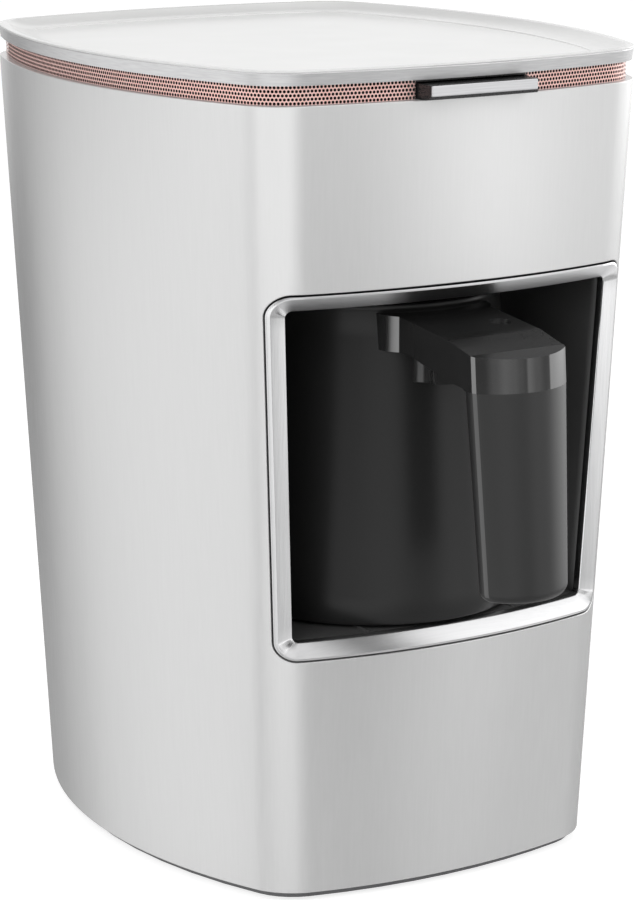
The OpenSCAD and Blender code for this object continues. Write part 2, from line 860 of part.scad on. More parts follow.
module at_stems() {
    for (x = [-stem_pitch / 2, stem_pitch / 2]) translate([x, 0, 0]) children();
}

// Black sleeve in the ring's notch: two cheeks, a roof and a rear wall that
// the key's stems run through. It stands on the shell's flange, and its ears
// are screwed to the carrier.
module key_guide() {
    ceiling_t = tray_z - 0.1 - guide_ceiling_z;
    cheek = key_w / 2 + key_gap;
    front = ring_face_y + 0.3;
    step = front_y(guide_w / 2, shell_top_z) + flange_in + 0.4;
    color([0.05, 0.05, 0.05]) difference() {
        union() {
            for (s = [-1, 1]) {
                box(min(s * cheek, s * guide_w / 2), max(s * cheek, s * guide_w / 2),
                    front, guide_back_y, shell_top_z, tray_z - 0.1);
                translate([s * guide_w / 2, guide_back_y - 6, carrier_top_z])
                    translate([s > 0 ? 0 : -7, 0, 0]) cube([7, 6, 1.6]);
            }
            box(-guide_w / 2, guide_w / 2, front, guide_back_y, guide_ceiling_z,
                guide_ceiling_z + ceiling_t);
            box(-guide_w / 2, guide_w / 2, guide_rear_y, guide_back_y, shell_top_z - 2,
                tray_z - 0.1);
            box(-guide_w / 2, guide_w / 2, step, guide_back_y, shell_top_z - 2,
                key_low_z - key_gap);
        }
        at_stems() rod_y(0, key_mid_z, stem_r + key_gap, guide_rear_y - 1, guide_back_y + 1);
        rod_y(0, key_mid_z, button_r + key_gap, guide_rear_y - 1, guide_back_y + 1);
        at_guide_screws() cylinder(r = 1.3, h = 6, center = true);
    }
}

module at_guide_screws() {
    for (s = [-1, 1]) translate([s * (guide_w / 2 + 4), guide_back_y - 3, carrier_top_z + 1.6])
        children();
}

module guide_screws() {
    color("silver") at_guide_screws() mirror([0, 0, 1]) screw_up(1.2, 1.6 + carrier_t, 2.2, 1.1);
}

// Bar with two stems and a rib between them that pushes the switch's button
module start_key() {
    color([0.06, 0.06, 0.06]) {
        difference() {
            box(-key_w / 2, key_w / 2, key_front_y + face_t, key_back_y, key_low_z, key_top_z);
            for (x = [-1, 1])
                box(x * key_w / 4 - key_w / 6, x * key_w / 4 + key_w / 6,
                    ring_face_y + 2, key_back_y - 2.5, key_low_z - 1, key_top_z - 1.4);
        }
        at_stems() rod_y(0, key_mid_z, stem_r, key_back_y - eps, stem_end_y);
        rod_y(0, key_mid_z, button_r, key_back_y - eps, guide_back_y - 1.6);
    }
}

// Silver plate on the key's front, set above a thin black lower edge
module key_face() {
    color("silver") box(-key_w / 2 + 0.2, key_w / 2 - 0.2, key_front_y, key_front_y + face_t,
        key_low_z + 0.95, key_top_z - 0.1);
}

// Spring clips behind the rear wall that keep the key from falling out
module key_clips() {
    color("silver") at_stems() translate([0, guide_back_y + key_gap, key_mid_z])
        rotate([-90, 0, 0]) difference() {
            cylinder(r = stem_r + 1.4, h = 0.8);
            translate([0, 0, -1]) cylinder(r = stem_r, h = 3);
            translate([0, -stem_r - 1, 0]) cube([1.6, 3, 3], center = true);
        }
}

module key_switch() {
    color([0.15, 0.15, 0.16]) difference() {
        box(-10, 10, switch_y, switch_y + switch_d, key_mid_z - 4.5, key_mid_z + 2.6);
        rod_y(0, key_mid_z, button_r + key_gap, switch_y - 1, switch_y + key_travel + 2.5);
    }
}

module switch_button() {
    color("crimson") rod_y(0, key_mid_z, button_r, guide_back_y - 1.6, switch_y + 2);
}

wire_r = 0.25;
coil_r = stem_r + key_gap + wire_r + 0.05;
coil_turns = 4;
coil_step = 30;

// Compression spring round a stem, as a wire swept along its helix
module coil_spring(length) {
    steps = coil_turns * 360 / coil_step;
    m = 6;
    loft([for (k = [0:steps]) let (a = k * coil_step, z = mix(wire_r, length - wire_r, k / steps))
        [for (i = [0:m - 1]) let (b = -360 * i / m, r = coil_r + wire_r * cos(b))
            [r * cos(a), r * sin(a), z + wire_r * sin(b)]]]);
}

module key_springs() {
    color("silver") at_stems() translate([0, key_back_y + 0.05, key_mid_z]) rotate([-90, 0, 0])
        coil_spring(spring_l - 0.1);
}

// ---- pot ----------------------------------------------------------------
skirt_h = 5.2;
shoulder_h = 2;
seal_h = 1.2;
pan_wall = 0.8;
spout_w = 15;
spout_out = 4.5;

// Outer radius of the pot at a height above its foot
function pot_r(h) = mix(pot_foot_r, pot_rim_r, h / pot_h);

// Outline of the pot's wall in radius and height above its foot: a thick foot
// that holds the pan, a shoulder over the seal and a thin wall up to the lip
module pot_section() {
    polygon([
        [pan_r + 0.1, 0.3], [pan_r + 0.5, 0], [pot_foot_r - 0.8, 0], [pot_foot_r, 0.8],
        [pot_r(pot_h - 2.4), pot_h - 2.4], [pot_rim_r + 0.5, pot_h - 1.6],
        [pot_rim_r + 0.5, pot_h - 0.5], [pot_rim_r, pot_h], [pot_rim_r - pot_wall + 0.4, pot_h],
        [pot_rim_r - pot_wall, pot_h - 0.5],
        [pot_r(skirt_h + shoulder_h + 3) - pot_wall, skirt_h + shoulder_h + 3],
        [pan_r - 3, skirt_h + shoulder_h], [pan_r - 3, skirt_h], [pan_r + 0.1, skirt_h]
    ]);
}

// Pouring lip, as a wedge outside (grow = 0) or its hollow (grow < 0)
module spout_wedge(s, grow) {
    hull() {
        translate([s * (pot_rim_r + spout_out), 0, pot_h - 1 - grow])
            cylinder(r = 2.2 + grow, h = 1 - grow, $fn = 24);
        for (y = [-1, 1]) translate([s * (pot_rim_r - 2.5), y * spout_w / 2, pot_h - 1 - grow])
            cylinder(r = 2.2 + grow, h = 1 - grow, $fn = 24);
        translate([s * (pot_r(pot_h - 16) - 3), 0, pot_h - 16 - 2 * grow])
            cylinder(r = 2.2 + grow, h = 1, $fn = 24);
    }
}

module pot_body() {
    color([0.13, 0.13, 0.14]) on_pot_axis() translate([0, 0, pot_z]) difference() {
        union() {
            rotate_extrude($fn = 96) pot_section();
            for (s = [-1, 1]) intersection() {
                spout_wedge(s, 0);
                difference() {
                    translate([0, 0, pot_h / 2]) cylinder(r = pot_foot_r + 10, h = pot_h / 2);
                    pot_hollow();
                }
            }
        }
        for (s = [-1, 1]) spout_wedge(s, -1.4);
    }
}

// Inside of the pot above its shoulder
module pot_hollow() {
    h0 = skirt_h + shoulder_h + 3;
    translate([0, 0, h0]) cylinder(r1 = pot_r(h0) - pot_wall + 0.2,
        r2 = pot_rim_r - pot_wall + 0.2, h = pot_h - h0 + eps, $fn = 96);
}

// Steel pan that closes the pot's foot and takes the heat
module pot_pan() {
    color("silver") on_pot_axis() translate([0, 0, pot_z]) rotate_extrude($fn = 96) polygon([
        [0, 0], [pan_r - 1.5, 0], [pan_r, 1.5], [pan_r, skirt_h - seal_h],
        [pan_r - pan_wall, skirt_h - seal_h], [pan_r - pan_wall, 1.8],
        [pan_r - 1.8, pan_wall], [0, pan_wall]
    ]);
}

module pot_seal() {
    color("firebrick") on_pot_axis() translate([0, 0, pot_z + skirt_h - seal_h]) difference() {
        cylinder(r = pan_r, h = seal_h, $fn = 96);
        translate([0, 0, -1]) cylinder(r = pan_r - 2.4, h = seal_h + 2, $fn = 96);
    }
}

// ---- handle -------------------------------------------------------------
// Everything here is measured from the pot's axis, forwards along -Y
slab_top = pot_h - 2.9;
cap_top = slab_top - 5.6;
cap_low = cap_top - cap_h;
grip_n = 10;
flare_y = 43.6;
flare_r = 10.6;
web_half = 9;
web_h = 24.5;
web_foot_r = 2.6;
grip_end_r = 3;
// Flat bevel between the sides of cap and grip and their bowed front
bevel_w = 0.8;
bevel_d = 2.1;
// The grip's screw leans with it. Its head lies screw_in above the lower end.
screw_r = 1.5;
screw_in = 12;
screw_grip = 7;

module along_grip() {
    translate([0, -grip_reach - 2, cap_low]) rotate([-atan(grip_lean / grip_h), 0, 0])
        translate([0, 0, screw_in - grip_h]) children();
}

// Half width, front line and side thickness of the grip at a share t of its
// length
function grip_half(t) = mix(grip_w - 0.2, grip_low_w, t) / 2;
function grip_front(t) = grip_reach + grip_lean * t;
function grip_thick(t) = grip_side_t * (1 - 0.27 * t);

// Bowed front of a section with the given half width: points from left to
// right at a share k of its full size
function bowed_front(half, front, k) =
    let (
        flat = half - bevel_w,
        bow = (grip_bow - bevel_d) * k,
        r = bow_r(flat, bow),
        a = asin(flat / r)
    )
    [for (i = [0:grip_n]) turn([0, r - front - bevel_d * k - bow], r, mix(-90 - a, -90 + a, i / grip_n))];

// Section of the grip at height z: bowed front, narrow sides and a flat back
// with rounded edges; shrink draws it in at the lower end
function grip_ring(t, z, shrink) =
    let (
        half = grip_half(t) - shrink,
        front = grip_front(t),
        thick = grip_thick(t),
        edge = 0.2 * thick,
        back = front - thick + min(shrink, 0.3 * thick)
    )
    concat(
        [for (p = bowed_front(half, front, half / grip_half(t))) [p[0], p[1], z]],
        [[half, -front, z], [half, -back - edge, z], [half - edge, -back, z],
            [edge - half, -back, z], [-half, -back - edge, z], [-half, -front, z]]
    );

// Upright slices of the grip, from the rounded lower end up to the cap
module handle_grip() {
    end_n = 4;
    low = cap_low - grip_h;
    color([0.17, 0.17, 0.18]) on_pot_axis() translate([0, 0, pot_z]) difference() {
        loft(concat(
            [for (k = [0:end_n]) let (a = 90 - 90 * k / end_n, h = grip_end_r * (1 - sin(a)))
                grip_ring(1 - h / grip_h, low + h, grip_end_r * (1 - cos(a)))],
            [for (t = [0.6, 0.3, 0]) grip_ring(t, cap_low - t * grip_h, 0)]
        ));
        along_grip() {
            translate([0, 0, -eps]) cylinder(r = screw_r + 0.15, h = 2 * grip_h);
            mirror([0, 0, 1]) cylinder(r = screw_r + 2, h = grip_h);
        }
    }
}

// Side view of the bracket, in forward distance and height above the foot
module bracket_side() {
    polygon([
        [20, slab_top + 0.7], [flare_y, slab_top], [grip_reach - 13.4, slab_top - 2.7],
        [grip_reach - 1.4, cap_top + 0.2], [grip_reach + grip_bow + 1, cap_top - 0.8],
        [grip_reach + grip_bow + 1, cap_low], [grip_reach - grip_side_t, cap_low],
        [grip_reach - grip_side_t - 1, cap_low + 1.9], [grip_reach - 10, cap_low + 2.2],
        [grip_reach - 28, cap_low + 5.3], [grip_reach - 34, slab_top - slab_h],
        [20, slab_top - slab_h]
    ]);
}

// Plan of the bracket: parallel sides, a bowed front and, at the pot, two
// flares that widen along arcs
function bracket_plan() =
    let (
        half = grip_w / 2,
        n = 6,
        flare = [for (k = [0:n]) let (b = 62 * k / n)
            [half + flare_r * (1 - cos(b)), -flare_y + flare_r * sin(b)]]
    )
    concat(bowed_front(half, grip_reach, 1), [[half, -grip_reach]], flare, [[10, -12], [-10, -12]],
        [for (k = [n:-1:0]) [-flare[k][0], flare[k][1]]], [[-half, -grip_reach]]);

// Plan of the web under the slab: as wide as the grip at the front, narrow at
// the pot
function web_plan() =
    let (
        half = grip_w / 2,
        side = [for (k = [0:8]) let (s = k / 8)
            [mix(half, web_half, (1 - cos(180 * s)) / 2), -mix(grip_reach - 18, flare_y - 1, s)]],
        foot = [for (k = [1:4]) let (b = 20 * k)
            [web_half + web_foot_r * (1 - cos(b)), -flare_y + 1 + web_foot_r * sin(b)]]
    )
    concat([[half, -grip_reach + 5]], side, foot, [[8, -20], [-8, -20]],
        [for (k = [3:-1:0]) [-foot[k][0], foot[k][1]]],
        [for (k = [8:-1:0]) [-side[k][0], side[k][1]]], [[-half, -grip_reach + 5]]);

module web_side() {
    polygon([
        [20, slab_top - slab_h / 2], [20, pot_h - web_h], [flare_y + 1, pot_h - web_h],
        [grip_reach - 10, cap_low + 2.2], [grip_reach - 6, cap_low + 3],
        [grip_reach - 28, slab_top - slab_h / 2]
    ]);
}

// Extrudes a side view, drawn in forward distance and height, across the width
module across(width) {
    rotate([90, 0, 0]) rotate([0, -90, 0]) translate([0, 0, -width / 2]) linear_extrude(width)
        children();
}

dimple = [10, 59.4];
dimple_r = 3.4;

// Glossy bracket: slab, cap, web and flares, cut to the pot's cone
module handle_bracket() {
    color([0.05, 0.05, 0.055]) on_pot_axis() translate([0, 0, pot_z]) difference() {
        union() {
            intersection() {
                across(2 * pot_foot_r) bracket_side();
                translate([0, 0, cap_low - 5]) linear_extrude(pot_h) polygon(bracket_plan());
            }
            intersection() {
                across(2 * pot_foot_r) web_side();
                translate([0, 0, pot_h - web_h - 5]) linear_extrude(pot_h) polygon(web_plan());
            }
        }
        translate([0, 0, -eps]) cylinder(r1 = pot_foot_r, r2 = pot_rim_r, h = pot_h + eps, $fn = 96);
        translate([dimple[0], -dimple[1], slab_top - 2.2]) cylinder(r = dimple_r, h = 6);
        along_grip() cylinder(r = screw_r + 0.05, h = grip_h - screw_in + screw_grip + 0.5);
    }
}

module grip_screw() {
    color("silver") on_pot_axis() translate([0, 0, pot_z]) along_grip()
        screw_up(screw_r, grip_h - screw_in + screw_grip, screw_r + 1.7, 2);
}

// ---- placing ------------------------------------------------------------
// The middle of the footprint lies between the tray's back edge and the
// grip's front
grip_tip = pot_fwd + grip_front((grip_h - grip_end_r) / grip_h) + grip_bow;
foot_mid_y = (grip_tip - (top_d / 2 + lip_out)) / 2;

module placed() {
    translate([0, foot_mid_y, 0]) children();
}

placed() outer_shell();
placed() base_plate();
placed() foot(-foot_x, -foot_y);  // foot_front_left
placed() foot(foot_x, -foot_y);  // foot_front_right
placed() foot(-foot_x, foot_y);  // foot_rear_left
placed() foot(foot_x, foot_y);  // foot_rear_right
placed() base_screws();
placed() cord_gland();
placed() top_carrier();
placed() vent_ring();
placed() top_tray();
placed() tray_band();
placed() bay_trim();
placed() bay_liner();
placed() bay_floor();
placed() hot_plate();
placed() heat_spreader();
placed() heating_element();
placed() element_terminals();
placed() heater_cup();
placed() cup_screws();
placed() temperature_sensor();
placed() thermal_fuse();
placed() foam_window();
placed() foam_housing();
placed() foam_board();
placed() control_board();
placed() board_screws();
placed() key_relay();
placed() key_chip();
placed() buzzer();
placed() power_board();
placed() transformer();
placed() power_relay();
placed() capacitor();
placed() terminal_block();
placed() key_guide();
placed() guide_screws();
placed() key_switch();
placed() start_key();
placed() key_face();
placed() key_clips();
placed() switch_button();
placed() key_springs();
placed() pot_body();
placed() pot_pan();
placed() pot_seal();
placed() handle_bracket();
placed() handle_grip();
placed() grip_screw();
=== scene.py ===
"""Electric Turkish coffee maker: a tapered silver housing with a small pot in
a heated bay, a push key, a perforated ring and a white cup tray on top."""
import math

import bmesh
import bpy
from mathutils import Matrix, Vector


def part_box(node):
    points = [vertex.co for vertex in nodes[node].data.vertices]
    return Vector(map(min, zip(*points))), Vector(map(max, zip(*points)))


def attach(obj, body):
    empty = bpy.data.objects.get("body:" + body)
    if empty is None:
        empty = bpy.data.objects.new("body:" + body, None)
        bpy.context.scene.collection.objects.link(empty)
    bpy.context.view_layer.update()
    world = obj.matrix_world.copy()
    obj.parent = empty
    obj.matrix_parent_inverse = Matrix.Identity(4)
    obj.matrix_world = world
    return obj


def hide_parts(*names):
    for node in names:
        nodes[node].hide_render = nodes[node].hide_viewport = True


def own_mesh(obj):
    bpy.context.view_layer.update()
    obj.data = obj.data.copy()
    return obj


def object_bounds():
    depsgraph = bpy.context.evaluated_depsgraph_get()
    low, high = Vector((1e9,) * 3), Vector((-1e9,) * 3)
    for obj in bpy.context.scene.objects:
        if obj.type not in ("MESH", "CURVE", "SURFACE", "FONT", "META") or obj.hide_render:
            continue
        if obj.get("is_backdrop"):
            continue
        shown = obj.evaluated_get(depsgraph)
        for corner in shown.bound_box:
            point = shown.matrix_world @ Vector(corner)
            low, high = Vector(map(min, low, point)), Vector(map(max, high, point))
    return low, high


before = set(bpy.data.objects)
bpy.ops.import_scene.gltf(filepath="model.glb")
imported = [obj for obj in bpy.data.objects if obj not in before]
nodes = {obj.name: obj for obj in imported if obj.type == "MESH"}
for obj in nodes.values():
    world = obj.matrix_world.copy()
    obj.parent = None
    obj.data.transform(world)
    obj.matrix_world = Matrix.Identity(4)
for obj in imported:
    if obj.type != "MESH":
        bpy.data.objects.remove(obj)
cad_low, cad_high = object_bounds()
scene = bpy.context.scene

# ---- Camera and table ----------------------------------------------------
# The maker stands on a pale table in front of a pale wall. The eye is in
# front of its left corner, a little above the tray, with a long lens.
middle_y = sum(corner.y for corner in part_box("outer_shell")) / 2
aim = Vector((-0.0002, middle_y, 0.1192))
eye_roll, eye_distance = math.radians(-0.2), 1.0833


def heading(azimuth, rise):
    """Unit vector away from the maker. The azimuth runs from its front to its
    right, and both angles are in degrees."""
    turn, lift = math.radians(azimuth), math.radians(rise)
    return Vector((
        math.sin(turn) * math.cos(lift), -math.cos(turn) * math.cos(lift), math.sin(lift)))


towards_eye = heading(-30.52, 13.5)

camera_data = bpy.data.cameras.new("camera")
camera = bpy.data.objects.new("camera", camera_data)
scene.collection.objects.link(camera)
camera.location = aim + towards_eye * eye_distance
look = (-towards_eye).to_track_quat("-Z", "Y").to_matrix().to_4x4()
camera.rotation_euler = look.to_euler()
camera.rotation_euler.rotate_axis("Z", eye_roll)
camera_data.lens = 128.36
camera_data.shift_x = 0.0129
camera_data.shift_y = 0.0177
camera_data.clip_start = 0.05
scene.camera = camera


def feed(tree, socket, value):
    """Joins a socket to another node's output, or sets it to a plain value."""
    if isinstance(value, bpy.types.NodeSocket):
        tree.links.new(value, socket)
    else:
        socket.default_value = value


def math_on(tree, operation, a, b=0.0):
    made = tree.nodes.new("ShaderNodeMath")
    made.operation = operation
    feed(tree, made.inputs[0], a)
    feed(tree, made.inputs[1], b)
    return made.outputs[0]


def mixed(tree, factor, a, b):
    made = tree.nodes.new("ShaderNodeMix")
    for name, value in (("Factor", factor), ("A", a), ("B", b)):
        feed(tree, made.inputs[name], value)
    return made.outputs["Result"]


def straight_sight(tree):
    """1 where the eye sees the thing itself or its image in gloss or glass."""
    path = tree.nodes.new("ShaderNodeLightPath")
    seen = path.outputs["Is Camera Ray"]
    for kind in ("Is Glossy Ray", "Is Transmission Ray"):
        seen = math_on(tree, "MAXIMUM", seen, path.outputs[kind])
    return path, seen


room_light = 0.50
# What gloss sees of the studio: levels by azimuth, from behind, round by the
# left and the front, to behind again, for five heights of sight
studio_rows = {
    "deep": [
        (-180, 0.5), (-138, 0.45), (-134, 0.9), (-80, 0.95), (-74, 0.5), (0, 0.55), (22, 0.55),
        (32, 0.65), (36, 0.5), (53, 0.5), (57, 1.0), (90, 1.1), (130, 0.6), (180, 0.5)],
    "low": [
        (-180, 0.3), (-165, 0.5), (-148, 0.88), (-130, 1.03), (-110, 1.05), (-98, 0.85),
        (-85, 0.55), (-72, 0.85), (-50, 1.1), (-28, 1.05), (-12, 0.55), (3, 0.27), (14, 0.25),
        (26, 0.5), (38, 0.6), (50, 0.45), (65, 0.5), (85, 0.4), (110, 0.4), (140, 0.4), (180, 0.3)],
    "floor": [
        (-180, 0.1), (-168, 0.5), (-152, 0.98), (-138, 1.1), (-127, 1.12), (-112, 1.05),
        (-98, 1.0), (-85, 1.2), (-71, 1.75), (-45, 1.75), (-20, 1.75), (-8, 1.1), (2, 0.65),
        (12, 0.7), (20, 1.0), (28, 1.45), (38, 1.95), (48, 1.6), (56, 1.2), (70, 1.0), (87, 1.1),
        (105, 1.0), (130, 0.6), (150, 0.3), (180, 0.1)],
    "wall": [
        (-180, 0.3), (-150, 0.4), (-126, 0.7), (-114, 1.5), (-102, 1.6), (-90, 0.6), (-77, 1.05),
        (-66, 0.8), (-56, 0.12), (-44, 0.15), (-28, 0.65), (-12, 1.05), (2, 0.85), (12, 0.6),
        (21, 0.42), (24.5, 1.3), (40, 0.75), (58, 0.35), (65, 0.4), (68, 2.6), (104, 3.4),
        (124, 1.8), (140, 1.05), (165, 1.0), (180, 0.3)],
    "high": [
        (-180, 0.3), (-130, 1.0), (0, 0.8), (12, 0.8), (25, 1.35), (80, 1.45), (120, 0.9),
        (140, 0.2), (165, 0.2), (180, 0.3)],
}
brightest = 5
# Heights of sight, in degrees, between which each next row takes over
row_steps = [("low", -31, -26), ("floor", -20, -11), ("wall", -11, -5), ("high", 18, 34)]
world = bpy.data.worlds.new("studio")
world.use_nodes = True
scene.world = world
tree = world.node_tree
tree.nodes.clear()
path, seen = straight_sight(tree)
facing = tree.nodes.new("ShaderNodeTexCoord")
sight = tree.nodes.new("ShaderNodeSeparateXYZ")
tree.links.new(facing.outputs["Generated"], sight.inputs[0])
azimuth = math_on(
    tree, "ARCTAN2", sight.outputs["X"], math_on(tree, "MULTIPLY", sight.outputs["Y"], -1.0))
azimuth_share = math_on(tree, "ADD", math_on(tree, "DIVIDE", azimuth, 2 * math.pi), 0.5)
height = math_on(tree, "ARCSINE", sight.outputs["Z"])
row_levels = {}
for name, stops in studio_rows.items():
    ramp = tree.nodes.new("ShaderNodeValToRGB")
    ramp.color_ramp.interpolation = "EASE"
    elements = ramp.color_ramp.elements
    while len(elements) < len(stops):
        elements.new(0.5)
    for element, (degrees, level) in zip(elements, stops):
        element.position = (degrees + 180) / 360
        element.color = (level / brightest,) * 3 + (1,)
    tree.links.new(azimuth_share, ramp.inputs["Fac"])
    row_levels[name] = math_on(tree, "MULTIPLY", ramp.outputs["Color"], brightest)
gloss_level = row_levels["deep"]
for name, start, end in row_steps:
    fade = tree.nodes.new("ShaderNodeMapRange")
    fade.interpolation_type = "SMOOTHSTEP"
    fade.inputs["From Min"].default_value = math.radians(start)
    fade.inputs["From Max"].default_value = math.radians(end)
    tree.links.new(height, fade.inputs["Value"])
    gloss_level = mixed(tree, fade.outputs[0], gloss_level, row_levels[name])
light_level = mixed(tree, seen, room_light, gloss_level)
sky = tree.nodes.new("ShaderNodeBackground")
sky.inputs["Color"].default_value = (1, 1, 1, 1)
tree.links.new(
    mixed(tree, path.outputs["Is Camera Ray"], light_level, 1.0), sky.inputs["Strength"])
tree.links.new(sky.outputs[0], tree.nodes.new("ShaderNodeOutputWorld").inputs["Surface"])

table_mesh = bpy.data.meshes.new("table")
table_mesh.from_pydata(
    [(-6, -6, 0), (6, -6, 0), (6, 6, 0), (-6, 6, 0)], [], [(0, 1, 2, 3)])
table = bpy.data.objects.new("table", table_mesh)
scene.collection.objects.link(table)
table_paint = bpy.data.materials.new("table_paint")
table_paint.use_nodes = True
tree = table_paint.node_tree
tree.nodes.clear()
path, seen = straight_sight(tree)
plain = tree.nodes.new("ShaderNodeBsdfDiffuse")
plain.inputs["Color"].default_value = (0.85, 0.85, 0.85, 1)
shaded = tree.nodes.new("ShaderNodeBsdfDiffuse")
shaded.inputs["Color"].default_value = (0.5, 0.5, 0.5, 1)
glow = tree.nodes.new("ShaderNodeEmission")
glow.inputs["Color"].default_value = (1, 1, 1, 1)
glow.inputs["Strength"].default_value = 0.77
pale = tree.nodes.new("ShaderNodeAddShader")
tree.links.new(shaded.outputs[0], pale.inputs[0])
tree.links.new(glow.outputs[0], pale.inputs[1])
table_look = tree.nodes.new("ShaderNodeMixShader")
tree.links.new(seen, table_look.inputs[0])
tree.links.new(plain.outputs[0], table_look.inputs[1])
tree.links.new(pale.outputs[0], table_look.inputs[2])
tree.links.new(
    table_look.outputs[0], tree.nodes.new("ShaderNodeOutputMaterial").inputs["Surface"])
table_mesh.materials.append(table_paint)
table.visible_glossy = False
table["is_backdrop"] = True

lamp_aim = Vector((0, 0, 0.14))


def soft_box(name, azimuth, rise, distance, size, power):
    """A rectangular studio lamp that faces the maker. It lights, and gloss
    sees the studio's walls in its place."""
    data = bpy.data.lights.new(name, "AREA")
    data.shape = "RECTANGLE"
    data.size, data.size_y = size
    data.energy = power
    lamp = bpy.data.objects.new(name, data)
    away = heading(azimuth, rise)
    lamp.location = lamp_aim + away * distance
    lamp.rotation_euler = away.to_track_quat("Z", "Y").to_euler()
    lamp.visible_glossy = False
    scene.collection.objects.link(lamp)


soft_box("left_box", -58, 28, 1.5, (0.8, 1.0), 6.5)
soft_box("right_box", 38, 30, 1.5, (0.8, 0.8), 4.5)
soft_box("top_box", 0, 88, 1.5, (1.2, 1.2), 4.4)

scene.view_settings.view_transform = "Standard"

# ---- Shell ---------------------------------------------------------------
# One plastic moulding wraps round the whole housing and leans outwards all
# the way up. It is painted satin silver over fine upright brush lines, and
# its front is cut out for the bay.
tall = cad_high.z
top_w, top_d = 0.17354, 0.2042
base_w, base_d = 0.1555, 0.1799
side_bow, front_bow, corner_r = 0.0138, 0.0055, 0.0211
shell_low, shell_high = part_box("outer_shell")[0].z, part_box("outer_shell")[1].z
side_share, corner_share = 0.40, 0.27
front_share = 1 - side_share - corner_share


def arc_radius(half, bow):
    """Radius of an arc from its half width and the height of its bow."""
    return (half * half + bow * bow) / (2 * bow)


def plan_facts(z):
    """Corner centre, radii and half angles of the plan's arcs at height z."""
    half_w = (base_w + (top_w - base_w) * z / tall) / 2
    half_d = (base_d + (top_d - base_d) * z / tall) / 2
    cx = half_w - corner_r - side_bow
    cy = half_d - corner_r - front_bow
    side_r = arc_radius(cy, side_bow)
    front_r = arc_radius(cx, front_bow)
    return cx, cy, side_r, front_r, math.asin(cy / side_r), math.asin(cx / front_r)


def plan_point(z, turn, out=0.0):
    """Point of the plan at height z: turn runs from 0 at +X through 1 at +Y,
    2 at -X and 3 at -Y, and out moves it off the skin."""
    cx, cy, side_r, front_r, side_a, front_a = plan_facts(z)
    quadrant = int(math.floor(turn)) % 4
    share = turn - math.floor(turn)
    if quadrant % 2:
        share = 1 - share
    if share <= side_share:
        a = side_a * share / side_share
        reach = side_r + corner_r + out
        x, y = cx + side_bow - side_r + reach * math.cos(a), reach * math.sin(a)
    elif share <= side_share + corner_share:
        part = (share - side_share) / corner_share
        a = side_a + (math.pi / 2 - front_a - side_a) * part
        x, y = cx + (corner_r + out) * math.cos(a), cy + (corner_r + out) * math.sin(a)
    else:
        part = (share - side_share - corner_share) / front_share
        a = front_a * (1 - part)
        reach = front_r + corner_r + out
        x, y = reach * math.sin(a), cy + front_bow - front_r + reach * math.cos(a)
    x = -x if quadrant in (1, 2) else x
    y = -y if quadrant in (2, 3) else y
    return Vector((x, y + middle_y, z))


def front_turn(x, z):
    """Turn of the point on the front skin that lies at x, z."""
    cx, cy, side_r, front_r, side_a, front_a = plan_facts(z)
    reach = front_r + corner_r
    if abs(x) <= reach * math.sin(front_a):
        step = front_share * math.asin(abs(x) / reach) / front_a
    else:
        a = math.asin((abs(x) - cx) / corner_r)
        step = front_share + corner_share * (a - front_a) / (math.pi / 2 - side_a - front_a)
    return 3 + math.copysign(step, x)


def on_front(x, z, sink=0.0):
    """Point at x, z, that far behind the front skin."""
    p = plan_point(z, front_turn(x, z))
    return Vector((x, p.y + sink, z))


rib_h, bay_wall = 0.0005, 0.0022
bay_floor_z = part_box("bay_floor")[1].z - rib_h
bay_top_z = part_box("bay_liner")[1].z - bay_wall
mouth_low_w, mouth_top_w = 0.108001, 0.117214
trim_w, trim_bar_w, trim_r, mouth_r, trim_gap = 0.0064, 0.0050, 0.0062, 0.0020, 0.0006
level_n, upright_n, bend_n = 60, 40, 7


def mouth_half(z):
    share = (z - bay_floor_z) / (bay_top_z - bay_floor_z)
    return (mouth_low_w + (mouth_top_w - mouth_low_w) * share) / 2


def mouth_loop(side, rise, r):
    """Outline of the bay's mouth in x and z, grown sideways and upwards, with
    rounded corners. It starts in the middle of the low left corner and turns
    anticlockwise, seen from the front."""
    lean = math.atan2((mouth_top_w - mouth_low_w) / 2, bay_top_z - bay_floor_z)
    z0, z1 = bay_floor_z - rise + r, bay_top_z + rise - r
    x0, x1 = mouth_half(z0) + side - r, mouth_half(z1) + side - r
    quarter = math.pi / 2
    bends = [
        ((-x0, z0), -2 * quarter + lean, -quarter), ((x0, z0), -quarter, -lean),
        ((x1, z1), -lean, quarter), ((-x1, z1), quarter, 2 * quarter + lean),
    ]
    loop = []
    for k, n in enumerate((level_n, upright_n, level_n, upright_n)):
        (ax, az), a0, a1 = bends[k]
        (bx, bz), b0, b1 = bends[(k + 1) % 4]
        start = [(ax + r * math.cos(a), az + r * math.sin(a))
                 for a in ((a0 + a1) / 2 + (a1 - a0) / 2 * i / bend_n for i in range(bend_n + 1))]
        end = [(bx + r * math.cos(a), bz + r * math.sin(a))
               for a in (b0 + (b1 - b0) / 2 * i / bend_n for i in range(bend_n + 1))]
        straight = n - 2 * bend_n
        run = [(start[-1][0] + (end[0][0] - start[-1][0]) * i / straight,
                start[-1][1] + (end[0][1] - start[-1][1]) * i / straight)
               for i in range(1, straight)]
        loop += start + run + end[:-1]
    return loop


def new_piece(name, verts, faces, body, slot_name, replaced=(), sharp=None):
    """Makes a mesh with smooth faces, sharp above an angle, and puts it on its
    body in place of the CAD nodes that it stands for."""
    mesh = bpy.data.meshes.new(name)
    mesh.from_pydata([tuple(v) for v in verts], [], faces)
    mesh.validate()
    mesh.shade_smooth()
    if sharp is not None:
        mesh.set_sharp_from_angle(angle=math.radians(sharp))
    piece = bpy.data.objects.new(name, mesh)
    scene.collection.objects.link(piece)
    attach(piece, body)
    if replaced:
        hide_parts(*replaced)
    return piece


